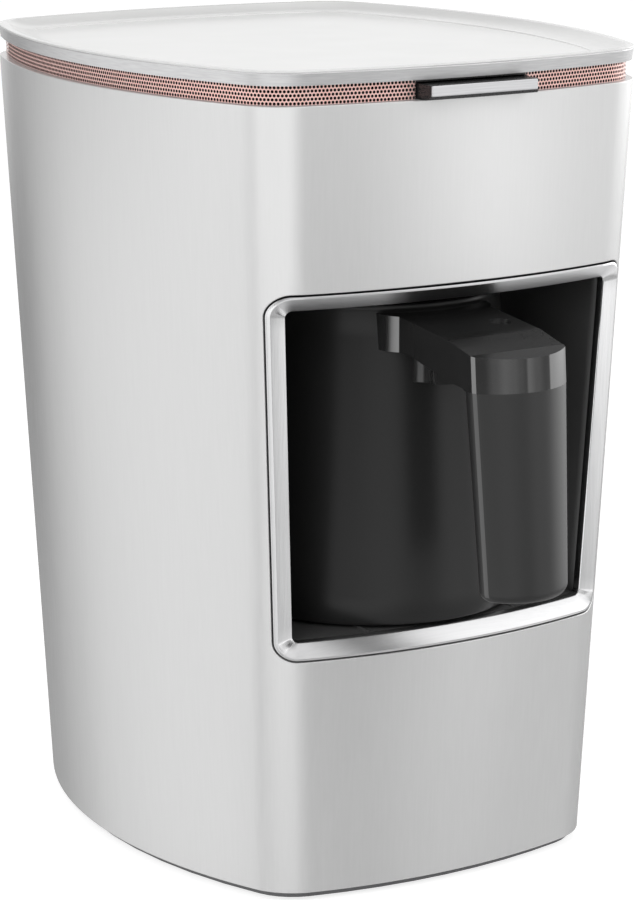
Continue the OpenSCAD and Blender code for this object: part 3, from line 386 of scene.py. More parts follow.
def soften(piece, width, limit):
    """Rounds the edges that are sharper than an angle in degrees."""
    edges = piece.modifiers.new("edges", "BEVEL")
    edges.width = width
    edges.segments = 3
    edges.limit_method = "ANGLE"
    edges.angle_limit = math.radians(limit)
    edges.harden_normals = True


front_end = front_share + corner_share
column_n, rest_n, ring_n = level_n, 84, 10
patch_low, patch_high = 0.064, 0.213
row_heights = (
    [shell_low + (patch_low - shell_low) * i / 4 for i in range(4)]
    + [patch_low + (patch_high - patch_low) * i / upright_n for i in range(upright_n + 1)]
    + [patch_high + (shell_high - patch_high) * i / 3 for i in range(1, 4)]
)
patch_rows = (4, 4 + upright_n)

shell_verts, shell_faces, shell_index = [], [], {}


def shell_vert(key, point):
    if key not in shell_index:
        shell_index[key] = len(shell_verts)
        shell_verts.append(point)
    return shell_index[key]


columns = [3 - front_end + 2 * front_end * i / column_n for i in range(column_n)]
columns += [3 + front_end + (4 - 2 * front_end) * i / rest_n for i in range(rest_n)]
for row in range(len(row_heights) - 1):
    for col in range(len(columns)):
        if col < column_n and patch_rows[0] <= row < patch_rows[1]:
            continue
        quad = []
        for c, r in ((col, row), (col + 1, row), (col + 1, row + 1), (col, row + 1)):
            c %= len(columns)
            quad.append(shell_vert((c, r), plan_point(row_heights[r], columns[c])))
        shell_faces.append(quad)

cut_loop = [(front_turn(x, z), z) for x, z in mouth_loop(
    trim_w + trim_gap, trim_bar_w + trim_gap, trim_r + trim_gap)]
edge_keys = (
    [(i, patch_rows[0]) for i in range(level_n)]
    + [(column_n, patch_rows[0] + i) for i in range(upright_n)]
    + [(column_n - i, patch_rows[1]) for i in range(level_n)]
    + [(0, patch_rows[1] - i) for i in range(upright_n)]
)
loop_n = len(cut_loop)
crowding = 1.3
for k in range(ring_n):
    for i in range(loop_n):
        quad = []
        for j, ring in ((i, k + 1), ((i + 1) % loop_n, k + 1), ((i + 1) % loop_n, k), (i, k)):
            c, r = edge_keys[j]
            edge_turn = columns[c % len(columns)]
            if ring == ring_n:
                quad.append(shell_vert((c, r), plan_point(row_heights[r], edge_turn)))
            else:
                share = (ring / ring_n) ** crowding
                turn = cut_loop[j][0] + (edge_turn - cut_loop[j][0]) * share
                z = cut_loop[j][1] + (row_heights[r] - cut_loop[j][1]) * share
                quad.append(shell_vert(("cut", j, ring), plan_point(z, turn)))
        shell_faces.append(quad)

shell = new_piece("shell_skin", shell_verts, shell_faces, "housing", "silver_skin", ["outer_shell"])
wall = shell.modifiers.new("wall", "SOLIDIFY")
wall.thickness = 0.0032
wall.offset = -1
wall.use_even_offset = True
soften(shell, 0.0004, 50)


def noise_on(tree, scale, detail, stretch):
    """Noise on the piece's own coordinates, stretched along its axes."""
    place = tree.nodes.new("ShaderNodeTexCoord")
    mapping = tree.nodes.new("ShaderNodeMapping")
    mapping.inputs["Scale"].default_value = stretch
    noise = tree.nodes.new("ShaderNodeTexNoise")
    noise.inputs["Scale"].default_value = scale
    noise.inputs["Detail"].default_value = detail
    tree.links.new(place.outputs["Object"], mapping.inputs["Vector"])
    tree.links.new(mapping.outputs[0], noise.inputs["Vector"])
    return noise.outputs["Fac"]


def ramp_on(tree, value, low, high):
    """Two colours, or two grey values, spread over a value."""
    ramp = tree.nodes.new("ShaderNodeValToRGB")
    for element, position, tone in zip(ramp.color_ramp.elements, (0.3, 0.7), (low, high)):
        element.position = position
        element.color = (*tone, 1)
    tree.links.new(value, ramp.inputs["Fac"])
    return ramp.outputs["Color"]


def toned_finish(name, low, high, roughness, grain, detail=1.0, stretch=(1, 1, 1), specular=0.5,
                 metallic=0.0):
    """A finish whose colour wanders between two tones. It gives back the
    material, its tree, its surface and the noise that the tones follow."""
    material = bpy.data.materials.new(name)
    material.use_nodes = True
    tree = material.node_tree
    surface = tree.nodes["Principled BSDF"]
    for label, value in (
            ("Metallic", metallic), ("Roughness", roughness), ("Specular IOR Level", specular)):
        surface.inputs[label].default_value = value
    noise = noise_on(tree, grain, detail, stretch)
    tree.links.new(ramp_on(tree, noise, low, high), surface.inputs["Base Color"])
    return material, tree, surface, noise


silver_paint, tree, paint, streaks = toned_finish(
    "silver_paint", (0.725,) * 3, (0.745,) * 3, 0.24, 1.0, 2.0, (1500, 1500, 25), metallic=0.45)
tree.links.new(ramp_on(tree, streaks, (0.22,) * 3, (0.26,) * 3), paint.inputs["Roughness"])
shell.data.materials.append(silver_paint)

# ---- Vent ring -----------------------------------------------------------
# A strip of thin rose-tinted sheet, punched with staggered rows of round
# holes, runs round the gap under the tray and stops at the key's guide. A
# near-black reddish sheet stands close behind it as painted shade, so that
# its holes look dark.
ring_low, ring_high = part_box("vent_ring")[0].z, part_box("vent_ring")[1].z
ring_middle = (ring_low + ring_high) / 2
ring_inset = 0.0025
notch_half = 0.0199
row_n = 5

gap_turn = front_turn(notch_half, ring_low) - 3
path_n = 400
ring_turns = [3 + gap_turn + (4 - 2 * gap_turn) * i / path_n for i in range(path_n + 1)]
ring_path = bpy.data.curves.new("ring_path", "CURVE")
ring_path.dimensions = "3D"
spline = ring_path.splines.new("POLY")
spline.points.add(path_n)
for point, turn in zip(spline.points, ring_turns):
    p = plan_point(ring_middle, turn, -ring_inset)
    point.co = (p.x, p.y, ring_low, 1)
path_points = [Vector(point.co[:3]) for point in spline.points]
path_length = sum((b - a).length for a, b in zip(path_points, path_points[1:]))
row_h = (ring_high - ring_low) / row_n
cell_n = round(path_length / row_h)


def new_tree(name, sockets):
    """An empty geometry tree with its named inputs."""
    group = bpy.data.node_groups.new(name, "GeometryNodeTree")
    group.interface.new_socket("Geometry", in_out="INPUT", socket_type="NodeSocketGeometry")
    group.interface.new_socket("Geometry", in_out="OUTPUT", socket_type="NodeSocketGeometry")
    for label, kind in sockets:
        group.interface.new_socket(label, in_out="INPUT", socket_type=kind)
    return group, group.nodes.new("NodeGroupInput"), group.nodes.new("NodeGroupOutput")


def run_tree(source, group, values, name):
    """Runs a tree on an object with the given inputs and gives back a plain
    mesh piece."""
    modifier = source.modifiers.new("nodes", "NODES")
    modifier.node_group = group
    for item in group.interface.items_tree:
        if item.item_type == "SOCKET" and item.in_out == "INPUT" and item.name in values:
            modifier[item.identifier] = values[item.name]
    evaluated = source.evaluated_get(bpy.context.evaluated_depsgraph_get())
    mesh = bpy.data.meshes.new_from_object(evaluated)
    mesh.name = name
    piece = bpy.data.objects.new(name, mesh)
    scene.collection.objects.link(piece)
    bpy.data.objects.remove(source)
    return piece


perforate, given, result = new_tree("perforated_strip", [
    ("Cells", "NodeSocketInt"), ("Rows", "NodeSocketInt"), ("Row Height", "NodeSocketFloat"),
    ("Hole Share", "NodeSocketFloat"), ("Sheet", "NodeSocketMaterial")])


def strip_node(kind, inputs, **settings):
    """Adds a node to the strip's tree and gives back its outputs."""
    made = perforate.nodes.new(kind)
    for key, value in settings.items():
        setattr(made, key, value)
    for socket, value in inputs.items():
        feed(perforate, made.inputs[socket], value)
    return made.outputs


def reckon(operation, a, b):
    return math_on(perforate, operation, a, b)


one_row = strip_node("GeometryNodeMeshGrid", {
    "Size X": 1.0, "Size Y": 1.0, "Vertices X": reckon("ADD", given.outputs["Cells"], 1),
    "Vertices Y": 2})
stack = strip_node("GeometryNodeMeshLine", {
    "Count": given.outputs["Rows"], "Start Location": (0, 0.5, 0), "Offset": (0, 1, 0)})
rows = strip_node("GeometryNodeInstanceOnPoints", {"Points": stack[0], "Instance": one_row["Mesh"]})
half_cell = reckon("DIVIDE", 0.5, given.outputs["Cells"])
odd = reckon("MODULO", strip_node("GeometryNodeInputIndex", {})[0], 2)
sideways = strip_node("ShaderNodeCombineXYZ", {"X": reckon("MULTIPLY", half_cell, odd)})
shifted = strip_node("GeometryNodeTranslateInstances", {
    "Instances": rows[0], "Translation": sideways[0]})
real_rows = strip_node("GeometryNodeRealizeInstances", {0: shifted[0]})
punch = strip_node("GeometryNodeExtrudeMesh", {
    "Mesh": real_rows[0], "Individual": True, "Offset Scale": 0.0}, mode="FACES")
shrunk = strip_node("GeometryNodeScaleElements", {
    "Geometry": punch["Mesh"], "Selection": punch["Top"], "Scale": given.outputs["Hole Share"]})
cleared = strip_node("GeometryNodeDeleteGeometry", {
    "Geometry": shrunk[0], "Selection": punch["Top"]}, domain="FACE")
rounded_holes = strip_node("GeometryNodeSubdivisionSurface", {"Mesh": cleared[0], "Level": 1})
spot = strip_node("ShaderNodeSeparateXYZ", {0: strip_node("GeometryNodeInputPosition", {})[0]})
along = strip_node("GeometryNodeSampleCurve", {
    "Curves": given.outputs["Geometry"], "Factor": reckon("ADD", spot["X"], 0.5)},
    mode="FACTOR", use_all_curves=True)
lift = strip_node("ShaderNodeCombineXYZ", {
    "Z": reckon("MULTIPLY", spot["Y"], given.outputs["Row Height"])})
placed = strip_node("ShaderNodeVectorMath", {0: along["Position"], 1: lift[0]}, operation="ADD")
wrapped = strip_node("GeometryNodeSetPosition", {
    "Geometry": rounded_holes[0], "Position": placed[0]})
real = strip_node("GeometryNodeRealizeInstances", {0: wrapped[0]})
coated = strip_node("GeometryNodeSetMaterial", {
    "Geometry": real[0], "Material": given.outputs["Sheet"]})
perforate.links.new(coated[0], result.inputs[0])


def satin_metal(name, low, high, roughness, stretch, metallic=1.0):
    """Metal with fine brush lines in its colour."""
    return toned_finish(name, low, high, roughness, 1.0, 2.0, stretch, metallic=metallic)[0]


rose_sheet = satin_metal(
    "rose_sheet", (0.90, 0.57, 0.52), (0.97, 0.68, 0.63), 0.40, (300, 300, 2500), 0.5)
ring_source = bpy.data.objects.new("ring_source", ring_path)
scene.collection.objects.link(ring_source)
vent_ring = run_tree(ring_source, perforate, {
    "Cells": cell_n, "Rows": row_n, "Row Height": row_h, "Hole Share": 0.87, "Sheet": rose_sheet,
}, "perforated_ring")
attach(vent_ring, "housing")
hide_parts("vent_ring")

# Painted shade: a thin near-black reddish sheet behind the ring darkens its holes.
shade_sheet_gap, shade_sheet_t = 0.0007, 0.0003
shade_sheet_verts = []
for turn in ring_turns:
    for z, out in ((ring_low, 0), (ring_high, 0), (ring_high, shade_sheet_t), (ring_low, shade_sheet_t)):
        p = plan_point(ring_middle, turn, -ring_inset - shade_sheet_gap - out)
        shade_sheet_verts.append((p.x, p.y, z))
shade_sheet_faces = [(3, 2, 1, 0), tuple(4 * path_n + k for k in range(4))] + [
    (4 * i + k, 4 * i + (k + 1) % 4, 4 * i + 4 + (k + 1) % 4, 4 * i + 4 + k)
    for i in range(path_n) for k in range(4)]
shade_sheet = new_piece("ring_shade_sheet", shade_sheet_verts, shade_sheet_faces, "housing", "black_matt", sharp=30)
painted_shade_sheet = toned_finish(
    "painted_shade_sheet", (0.010, 0.004, 0.004), (0.022, 0.010, 0.010), 0.9, 2500.0, specular=0.2)[0]
shade_sheet.data.materials.append(painted_shade_sheet)

# ---- Tray and its band ---------------------------------------------------
# The cover is a glossy white moulding. Its rim is thin, a cove falls from it
# to a flat sunk middle for cups, and a satin metal band closes its edge.
tray_low, band_top = ring_high, tall - 0.0006
tray_sink, slope_w, rim_w, lip_out, tray_step = 0.0029, 0.0095, 0.0022, -0.00043, 0.0002
around_n = 288


def plan_ring(z, out):
    return [plan_point(z, 4 * i / around_n, out) for i in range(around_n)]


def loft(rings, closed=False):
    """Vertices and faces of the skin through equal rings: a closed loop of
    rings, or a solid with two flat ends."""
    n, m = len(rings), len(rings[0])
    verts = [p for ring in rings for p in ring]
    faces = [
        (k * m + i, k * m + (i + 1) % m, (k + 1) % n * m + (i + 1) % m, (k + 1) % n * m + i)
        for k in range(n if closed else n - 1) for i in range(m)]
    if not closed:
        faces += [tuple(range(m - 1, -1, -1)), tuple((n - 1) * m + i for i in range(m))]
    return verts, faces


rim_edge_r = 0.0004
tray_rings = [
    plan_ring(tray_low, -0.0024), plan_ring(band_top, lip_out - 0.0012),
    plan_ring(band_top, lip_out - 0.0001)]
for i in range(5):
    a = math.pi / 2 * i / 4
    tray_rings.append(plan_ring(
        tall - rim_edge_r * (1 - math.sin(a)), lip_out - rim_edge_r * (1 - math.cos(a))))
tray_rings.append(plan_ring(tall, lip_out - rim_w))
slope_n = 14
for i in range(1, slope_n + 1):
    s = i / slope_n
    tray_rings.append(plan_ring(
        tall - (tray_sink - tray_step) * (1 - (1 - s) ** 1.8), lip_out - rim_w - s * slope_w))
tray_rings.append(plan_ring(tall - tray_sink, lip_out - rim_w - slope_w - tray_step))
tray = new_piece("tray_cover", *loft(tray_rings), "housing", "tray_white", ["top_tray"], sharp=30)
white_gloss = toned_finish("white_gloss", (0.78, 0.78, 0.775), (0.81, 0.81, 0.805), 0.16, 40.0)[0]
tray.data.materials.append(white_gloss)

band_rings = [
    plan_ring(tray_low, -0.0022), plan_ring(tray_low, -0.0008), plan_ring(tall - 0.0009, lip_out),
    plan_ring(band_top, lip_out - 0.0002), plan_ring(band_top, lip_out - 0.0010)]
band = new_piece("tray_band_skin", *loft(band_rings, closed=True), "housing", "band_silver",
                 ["tray_band"], sharp=40)
band.data.materials.append(satin_metal(
    "band_satin", (0.64, 0.64, 0.645), (0.74, 0.74, 0.745), 0.26, (150, 150, 2500), 0.5))

# ---- Bay trim ------------------------------------------------------------
# A chromed frame with a wide bevel that falls inwards. It follows the bowed
# front round its corners and closes the joint between shell and bay.
# Share of the way from the outer edge to the inner, and depth behind the skin
trim_sections = [
    (0.0, 0.0030), (0.0, 0.0004), (0.012, 0.0001), (0.04, 0.0), (0.15, 0.0), (0.19, 0.0002),
    (0.95, 0.00365), (0.98, 0.0039), (1.0, 0.0043), (1.0, 0.0069), (0.7, 0.0069)]
outer_loop, inner_loop = mouth_loop(trim_w, trim_bar_w, trim_r), mouth_loop(0, 0, mouth_r)
trim_rings = [
    [on_front(a[0] + (b[0] - a[0]) * f, a[1] + (b[1] - a[1]) * f, sink)
     for a, b in zip(outer_loop, inner_loop)]
    for f, sink in trim_sections]
trim = new_piece("trim_frame", *loft(trim_rings, closed=True), "housing", "trim_chrome",
                 ["bay_trim"], sharp=35)
upright_lines, level_lines = (1800, 1800, 30), (30, 1800, 1800)
brushed_upright = satin_metal(
    "brushed_upright", (0.69, 0.69, 0.695), (0.74, 0.74, 0.745), 0.22, upright_lines)
brushed_level = satin_metal(
    "brushed_level", (0.71, 0.71, 0.715), (0.75, 0.75, 0.755), 0.34, level_lines)
# Painted shade: the trim's outer wall and its back are near-black, so the gap between trim and
# shell looks dark.
gap_painted_shade = toned_finish("gap_painted_shade", (0.010,) * 3, (0.014,) * 3, 0.6, 800.0)[0]
for material in (brushed_upright, brushed_level, gap_painted_shade):
    trim.data.materials.append(material)
for face in trim.data.polygons:
    side, row = face.index % loop_n, face.index // loop_n
    face.material_index = 0 if side % (level_n + upright_n) >= level_n else 1
    if row in (0, len(trim_sections) - 1):
        face.material_index = 2

# ---- Bay liner -----------------------------------------------------------
# A black plastic cavity: two side walls, a round back and a flat ceiling
# that has a small dark window for the sensor over the pot.
pot_low, pot_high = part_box("pot_pan")
pot_x, pot_y = 0.0, (pot_low.y + pot_high.y) / 2
liner_front = 0.0070
window_r = 0.0070
wall_n, run_n, bow_n = 10, 12, 48

wall_heights = [bay_floor_z + (bay_top_z - bay_floor_z) * i / wall_n for i in range(wall_n + 1)]
liner_verts, liner_faces = [], []
for z in wall_heights:
    half = mouth_half(z)
    front = on_front(half, z, liner_front).y
    run = [Vector((half, front + (pot_y - front) * t / run_n, z)) for t in range(run_n)]
    bow = [Vector((half * math.cos(a), pot_y + half * math.sin(a), z))
           for a in (math.pi * i / bow_n for i in range(bow_n + 1))]
    back_run = [Vector((-p.x, p.y, p.z)) for p in reversed(run)]
    liner_verts += run + bow + back_run
row_len = len(run + bow + back_run)
for k in range(wall_n):
    for i in range(row_len - 1):
        a = k * row_len + i
        liner_faces.append((a, a + row_len, a + row_len + 1, a + 1))


def window_point(p):
    """Adds the point of the window's edge that faces p to the liner."""
    away = Vector((p.x, p.y - pot_y, 0)).normalized()
    liner_verts.append(Vector((away.x * window_r, pot_y + away.y * window_r, bay_top_z)))
    return len(liner_verts) - 1


edge = [len(liner_verts) - row_len + i for i in range(row_len)]
window_ring = [window_point(liner_verts[i]) for i in edge]
for i in range(row_len - 1):
    liner_faces.append((edge[i], window_ring[i], window_ring[i + 1], edge[i + 1]))
front_points = []
for i in range(1, run_n):
    x = -mouth_half(bay_top_z) + 2 * mouth_half(bay_top_z) * i / run_n
    front_points.append(len(liner_verts))
    liner_verts.append(on_front(x, bay_top_z, liner_front))
chain = [edge[-1]] + front_points + [edge[0]]
inner_chain = [window_ring[-1]] + [window_point(liner_verts[i]) for i in front_points]
inner_chain.append(window_ring[0])
for i in range(run_n):
    liner_faces.append((chain[i], inner_chain[i], inner_chain[i + 1], chain[i + 1]))
liner = new_piece(
    "bay_lining", liner_verts, liner_faces, "housing", "black_matt", ["bay_liner"], sharp=45)
liner_wall = liner.modifiers.new("wall", "SOLIDIFY")
liner_wall.thickness = bay_wall
liner_wall.offset = -1


def moulded(name, colour, roughness, grain, height, specular=0.5):
    """Moulded plastic or rubber: even colour, fine grain in tone and surface."""
    darker = tuple(0.9 * c for c in colour)
    material, tree, plastic, grains = toned_finish(
        name, darker, colour, roughness, grain, 2.0, specular=specular)
    tree.links.new(
        ramp_on(tree, grains, (roughness * 0.92,) * 3, (min(1, roughness * 1.08),) * 3),
        plastic.inputs["Roughness"])
    if height:
        bump = tree.nodes.new("ShaderNodeBump")
        bump.inputs["Distance"].default_value = height
        bump.inputs["Strength"].default_value = 0.3
        tree.links.new(grains, bump.inputs["Height"])
        tree.links.new(bump.outputs[0], plastic.inputs["Normal"])
    return material


def coat(material, *names):
    """Gives a finish to the CAD pieces that are shown as they are."""
    for name in names:
        nodes[name].data.materials[0] = material


bay_black = moulded("bay_black", (0.075, 0.075, 0.075), 0.46, 1200, 0.00002)
liner.data.materials.append(bay_black)
coat(bay_black, "bay_floor")

# ---- Pot -----------------------------------------------------------------
# The pot is one dark satin plastic body of revolution, wider at its foot,
# with a rolled rim and two small pouring lips. A steel pan with a silicone
# seal closes its foot.
pot_base_z = pot_low.z
pot_foot_r, pot_rim_r, pot_h, pot_wall, pan_r = 0.0478, 0.0410, 0.1016, 0.0023, 0.0436
lip_reach, lip_spread, lip_depth, lip_drop = 0.0052, 0.17, 0.014, 0.0008
pot_n = 192
# Radius and height, up the outside and down the inside
pot_profile = [
    (pan_r + 0.0005, 0.0), (pot_foot_r - 0.0010, 0.0), (pot_foot_r - 0.0003, 0.0003),
    (pot_foot_r, 0.0010)]
for i in range(1, 13):
    h = 0.001 + (pot_h - 0.0034) * i / 12
    pot_profile.append((pot_foot_r + (pot_rim_r - pot_foot_r) * h / pot_h, h))
pot_profile += [
    (pot_rim_r + 0.0004, pot_h - 0.0018), (pot_rim_r + 0.0006, pot_h - 0.0010),
    (pot_rim_r + 0.0003, pot_h - 0.0003), (pot_rim_r - 0.0004, pot_h),
    (pot_rim_r - pot_wall + 0.0006, pot_h), (pot_rim_r - pot_wall, pot_h - 0.0006)]
for i in range(1, 11):
    h = pot_h - 0.0006 - (pot_h - 0.011) * i / 10
    pot_profile.append((pot_foot_r + (pot_rim_r - pot_foot_r) * h / pot_h - pot_wall, h))
pot_profile += [(0.0412, 0.0072), (0.0408, 0.0055), (pan_r, 0.0050)]


def pot_point(r, h, a):
    """Point of the pot's wall, pushed outwards where a lip pours."""
    near = min(abs(math.sin(a / 2)), abs(math.cos(a / 2)))
    rise = max(0.0, 1 - (pot_h - h) / lip_depth)
    swell = math.exp(-(2 * near / lip_spread) ** 2) * rise
    r += lip_reach * swell * rise
    return Vector((
        pot_x + r * math.cos(a), pot_y + r * math.sin(a), pot_base_z + h - lip_drop * swell))


pot_angles = [2 * math.pi * i / pot_n for i in range(pot_n)]
pot_rings = [[pot_point(r, h, a) for a in pot_angles] for r, h in pot_profile]
pot = new_piece("pot_wall", *loft(pot_rings, closed=True), "coffee_pot", "pot_black",
                ["pot_body"], sharp=40)
pot_satin = moulded("pot_satin", (0.019, 0.019, 0.019), 0.32, 1500, 0.00001, 0.3)
pot.data.materials.append(pot_satin)
coat(satin_metal("stainless", (0.56, 0.56, 0.57), (0.68, 0.68, 0.69), 0.26, (600,) * 3), "pot_pan")
coat(moulded("silicone", (0.40, 0.06, 0.05), 0.55, 1200, 0.00003), "pot_seal")

# ---- Handle bracket ------------------------------------------------------
# A piano-black bracket: a slab that leaves the pot between two flares, a
# narrow web under it, and a bowed cap that the grip hangs from.
grip_w, grip_reach, grip_bow = 0.0338, 0.0845, 0.0083
bevel_w, bevel_d = 0.00056, 0.0015
grip_h, grip_lean = 0.0642, 0.0052
slab_top, slab_h = pot_h - 0.0029, 0.0112
slab_middle, slab_low = slab_top - slab_h / 2, slab_top - slab_h
cap_top = slab_middle
cap_low = cap_top - 0.0110
side_t = 0.0043
flare_y, web_half, web_h, web_foot_r = 0.0436, 0.0077, 0.0245, 0.0028
dimple_x, dimple_y, dimple_r, dimple_depth = 0.010, -0.0594, 0.0034, 0.0022


def bowed_front(half, reach, share, n):
    """Front of a section from its left side to its right side: a flat bevel,
    a bowed face and a flat bevel, at a share of its full size."""
    flat, bow = half - bevel_w, (grip_bow - bevel_d) * share
    r = arc_radius(flat, bow)
    a = math.asin(flat / r)
    middle = -(reach + bevel_d * share + bow - r)
    face = [(r * math.sin(t), middle - r * math.cos(t))
            for t in (-a + 2 * a * i / n for i in range(n + 1))]
    return [(-half, -reach)] + face + [(half, -reach)]


def solid(name, verts, faces):
    """A closed solid that cuts or joins another, its faces turned outwards."""
    mesh = bpy.data.meshes.new(name)
    mesh.from_pydata([tuple(v) for v in verts], [], faces)
    ready = bmesh.new()
    ready.from_mesh(mesh)
    bmesh.ops.recalc_face_normals(ready, faces=ready.faces)
    ready.to_mesh(mesh)
    ready.free()
    made = bpy.data.objects.new(name, mesh)
    scene.collection.objects.link(made)
    return made


def extruded(name, outline, place, low, high):
    """Prism of an outline between two levels, placed by a function of the
    outline's coordinates and the level."""
    n = len(outline)
    verts = [place(p, low) for p in outline] + [place(p, high) for p in outline]
    faces = [(i, (i + 1) % n, n + (i + 1) % n, n + i) for i in range(n)]
    faces += [tuple(range(n - 1, -1, -1)), tuple(range(n, 2 * n))]
    return solid(name, verts, faces)


def combine(base, other, operation):
    """Cuts, joins or crosses two meshes, and leaves the result in the first."""
    step = base.modifiers.new("step", "BOOLEAN")
    step.operation = operation
    step.object = other
    step.solver = "EXACT"
    evaluated = base.evaluated_get(bpy.context.evaluated_depsgraph_get())
    mesh = bpy.data.meshes.new_from_object(evaluated)
    base.modifiers.clear()
    old = base.data
    base.data = mesh
    bpy.data.meshes.remove(old)
    bpy.data.objects.remove(other)


def upright(p, z):
    return Vector((pot_x + p[0], pot_y + p[1], pot_base_z + z))


def sideways_on(p, x):
    return Vector((pot_x + x, pot_y - p[0], pot_base_z + p[1]))


def leaning(p, z):
    """As upright, but the cap's front leans with the grip."""
    lean = grip_lean / grip_h * (z - cap_low) if p[1] < -grip_reach + 0.002 else 0.0
    return upright((p[0], p[1] + lean), z)


# The flare is a row of facets, each with its angle and its length.
flare = [(grip_w / 2, -flare_y)]
for degrees, step in ((39, 0.0008), (36, 0.0009), (33, 0.0010), (30, 0.0008), (25, 0.0006),
                      (20, 0.0006), (15, 0.0051)):
    a = math.radians(degrees)
    flare.append((flare[-1][0] + step * math.sin(a), flare[-1][1] + step * math.cos(a)))
slab_plan = bowed_front(grip_w / 2, grip_reach, 1.0, 48) + flare
slab_plan += [(0.010, -0.012), (-0.010, -0.012)] + [(-x, y) for x, y in reversed(flare)]
beyond = grip_reach + grip_bow + 0.001
# Seen from the side: distance from the pot's axis, and height
slab_side = [
    (0.020, slab_top + 0.0007), (flare_y, slab_top), (grip_reach - 0.0134, slab_top - 0.0027),
    (grip_reach - 0.0014, cap_top + 0.0002), (beyond, cap_top - 0.0008), (beyond, cap_low),
    (grip_reach - side_t, cap_low), (grip_reach - side_t - 0.001, cap_low + 0.0007),
    (grip_reach - 0.010, cap_low + 0.0010), (grip_reach - 0.028, cap_low + 0.0041),
    (grip_reach - 0.034, slab_low), (0.020, slab_low)]
bracket = extruded("bracket", slab_plan, leaning, cap_low - 0.005, pot_h + 0.01)
combine(bracket, extruded("slab_side", slab_side, sideways_on, -0.05, 0.05), "INTERSECT")

web_run = [((1 - math.cos(math.pi * i / 24)) / 2, i / 24) for i in range(25)]
web_edge = [(grip_w / 2 + (web_half - grip_w / 2) * ease,
             -(grip_reach - 0.018) + (grip_reach - 0.0195 - flare_y) * s) for ease, s in web_run]
web_foot = [(web_half + web_foot_r * (1 - math.cos(math.radians(b))),
             -0.0015 - flare_y + web_foot_r * math.sin(math.radians(b))) for b in range(5, 86, 5)]
web_plan = [(grip_w / 2, -grip_reach + 0.005)] + web_edge + web_foot + [(0.008, -0.020)]
web_plan += [(-x, y) for x, y in reversed(web_plan)]
web_side = [
    (0.020, slab_middle), (0.020, pot_h - web_h), (flare_y + 0.001, pot_h - web_h),
    (grip_reach - 0.010, cap_low + 0.0010), (grip_reach - 0.006, cap_low + 0.0018),
    (grip_reach - 0.028, slab_middle)]
web = extruded("web", web_plan, upright, pot_h - web_h - 0.005, pot_h)
combine(web, extruded("web_side", web_side, sideways_on, -0.05, 0.05), "INTERSECT")
combine(bracket, web, "UNION")
cone_rings = [
    [upright(((r - 0.0001) * math.cos(a), (r - 0.0001) * math.sin(a)), h) for a in pot_angles]
    for r, h in ((pot_foot_r, 0.0), (pot_rim_r, pot_h))]
combine(bracket, solid("pot_cone", *loft(cone_rings)), "DIFFERENCE")
dimple = [(dimple_x + dimple_r * math.cos(a), dimple_y + dimple_r * math.sin(a))
          for a in (2 * math.pi * i / 48 for i in range(48))]
combine(bracket, extruded("dimple", dimple, upright, slab_top - dimple_depth, slab_top + 0.01),
        "DIFFERENCE")
bracket.data.shade_smooth()
bracket.data.set_sharp_from_angle(angle=math.radians(6))
soften(bracket, 0.00035, 18)

piano_black = toned_finish(
    "piano_black", (0.024,) * 3, (0.027,) * 3, 0.06, 220.0, specular=0.9)[0]
bracket.data.materials.append(piano_black)
# Painted shade: the up-facing top faces get a darker black that reflects far less.
shaded_top_black = moulded("shaded_top_black", (0.018, 0.018, 0.018), 0.16, 900, 0.0)
shaded_top_black.node_tree.nodes["Principled BSDF"].inputs["IOR"].default_value = 1.12
bracket.data.materials.append(shaded_top_black)
# Painted highlight: the edge and flare copies reflect more strongly than the black.
for name, ior, roughness in (
        ("piano_highlight_edge", 1.9, 0.06), ("piano_highlight_flare", 2.0, 0.28), ("piano_foot", 1.5, 0.34)):
    worked = piano_black.copy()
    worked.name = name
    surface = worked.node_tree.nodes["Principled BSDF"].inputs
    surface["IOR"].default_value = ior
    surface["Roughness"].default_value = roughness
    bracket.data.materials.append(worked)
# The top faces have a soft gloss and reflect far less than the rest, a
# painted shade. The flares and the web's foot are less polished, and the
# flares and the cap's side edges reflect more strongly, a painted highlight.
for face in bracket.data.polygons:
    wide, inward = abs(face.center.x - pot_x), face.center.y - pot_y
    steep = abs(face.normal.z) < 0.3
    if face.normal.z > 0.9:
        face.material_index = 1
    elif steep and wide < 0.0108 and inward > -0.047:
        face.material_index = 4
    elif steep and 0.74 < abs(face.normal.x) < 0.96 and wide > 0.013:
        face.material_index = 3 if inward > -0.060 else 2
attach(bracket, "coffee_pot")
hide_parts("handle_bracket")

# ---- Grip ----------------------------------------------------------------
# The grip is a soft satin moulding that leans outwards to its lower end. Its
# front is bowed, its sides are thin, and its lower corners are rounded.
grip_low_w, grip_end_r, grip_edge_r, thinning = 0.0300, 0.0030, 0.0009, 0.27
grip_top_w = grip_w - 0.0002


def grip_ring(drop, shrink):
    """Section of the grip at a distance below the cap."""
    share = drop / grip_h
    full = (grip_top_w + (grip_low_w - grip_top_w) * share) / 2
    half = full - shrink
    front = grip_reach + grip_lean * share
    thick = side_t * (1 - thinning * share)
    back = front - thick + min(shrink, 0.3 * thick)
    side = [(half, -(front + back) / 2), (half, -back - grip_edge_r)]
    side += [(half - grip_edge_r * (1 - math.cos(a)), -back - grip_edge_r * (1 - math.sin(a)))
             for a in (math.pi / 2 * i / 5 for i in range(1, 6))]
    inner = (half - grip_edge_r) * 0.9
    ring = bowed_front(half, front, half / full, 40) + side
    ring += [(inner * (1 - 2 * i / 10), -back) for i in range(11)]
    ring += [(-x, y) for x, y in reversed(side)]
    return [upright(p, cap_low - drop) for p in ring]


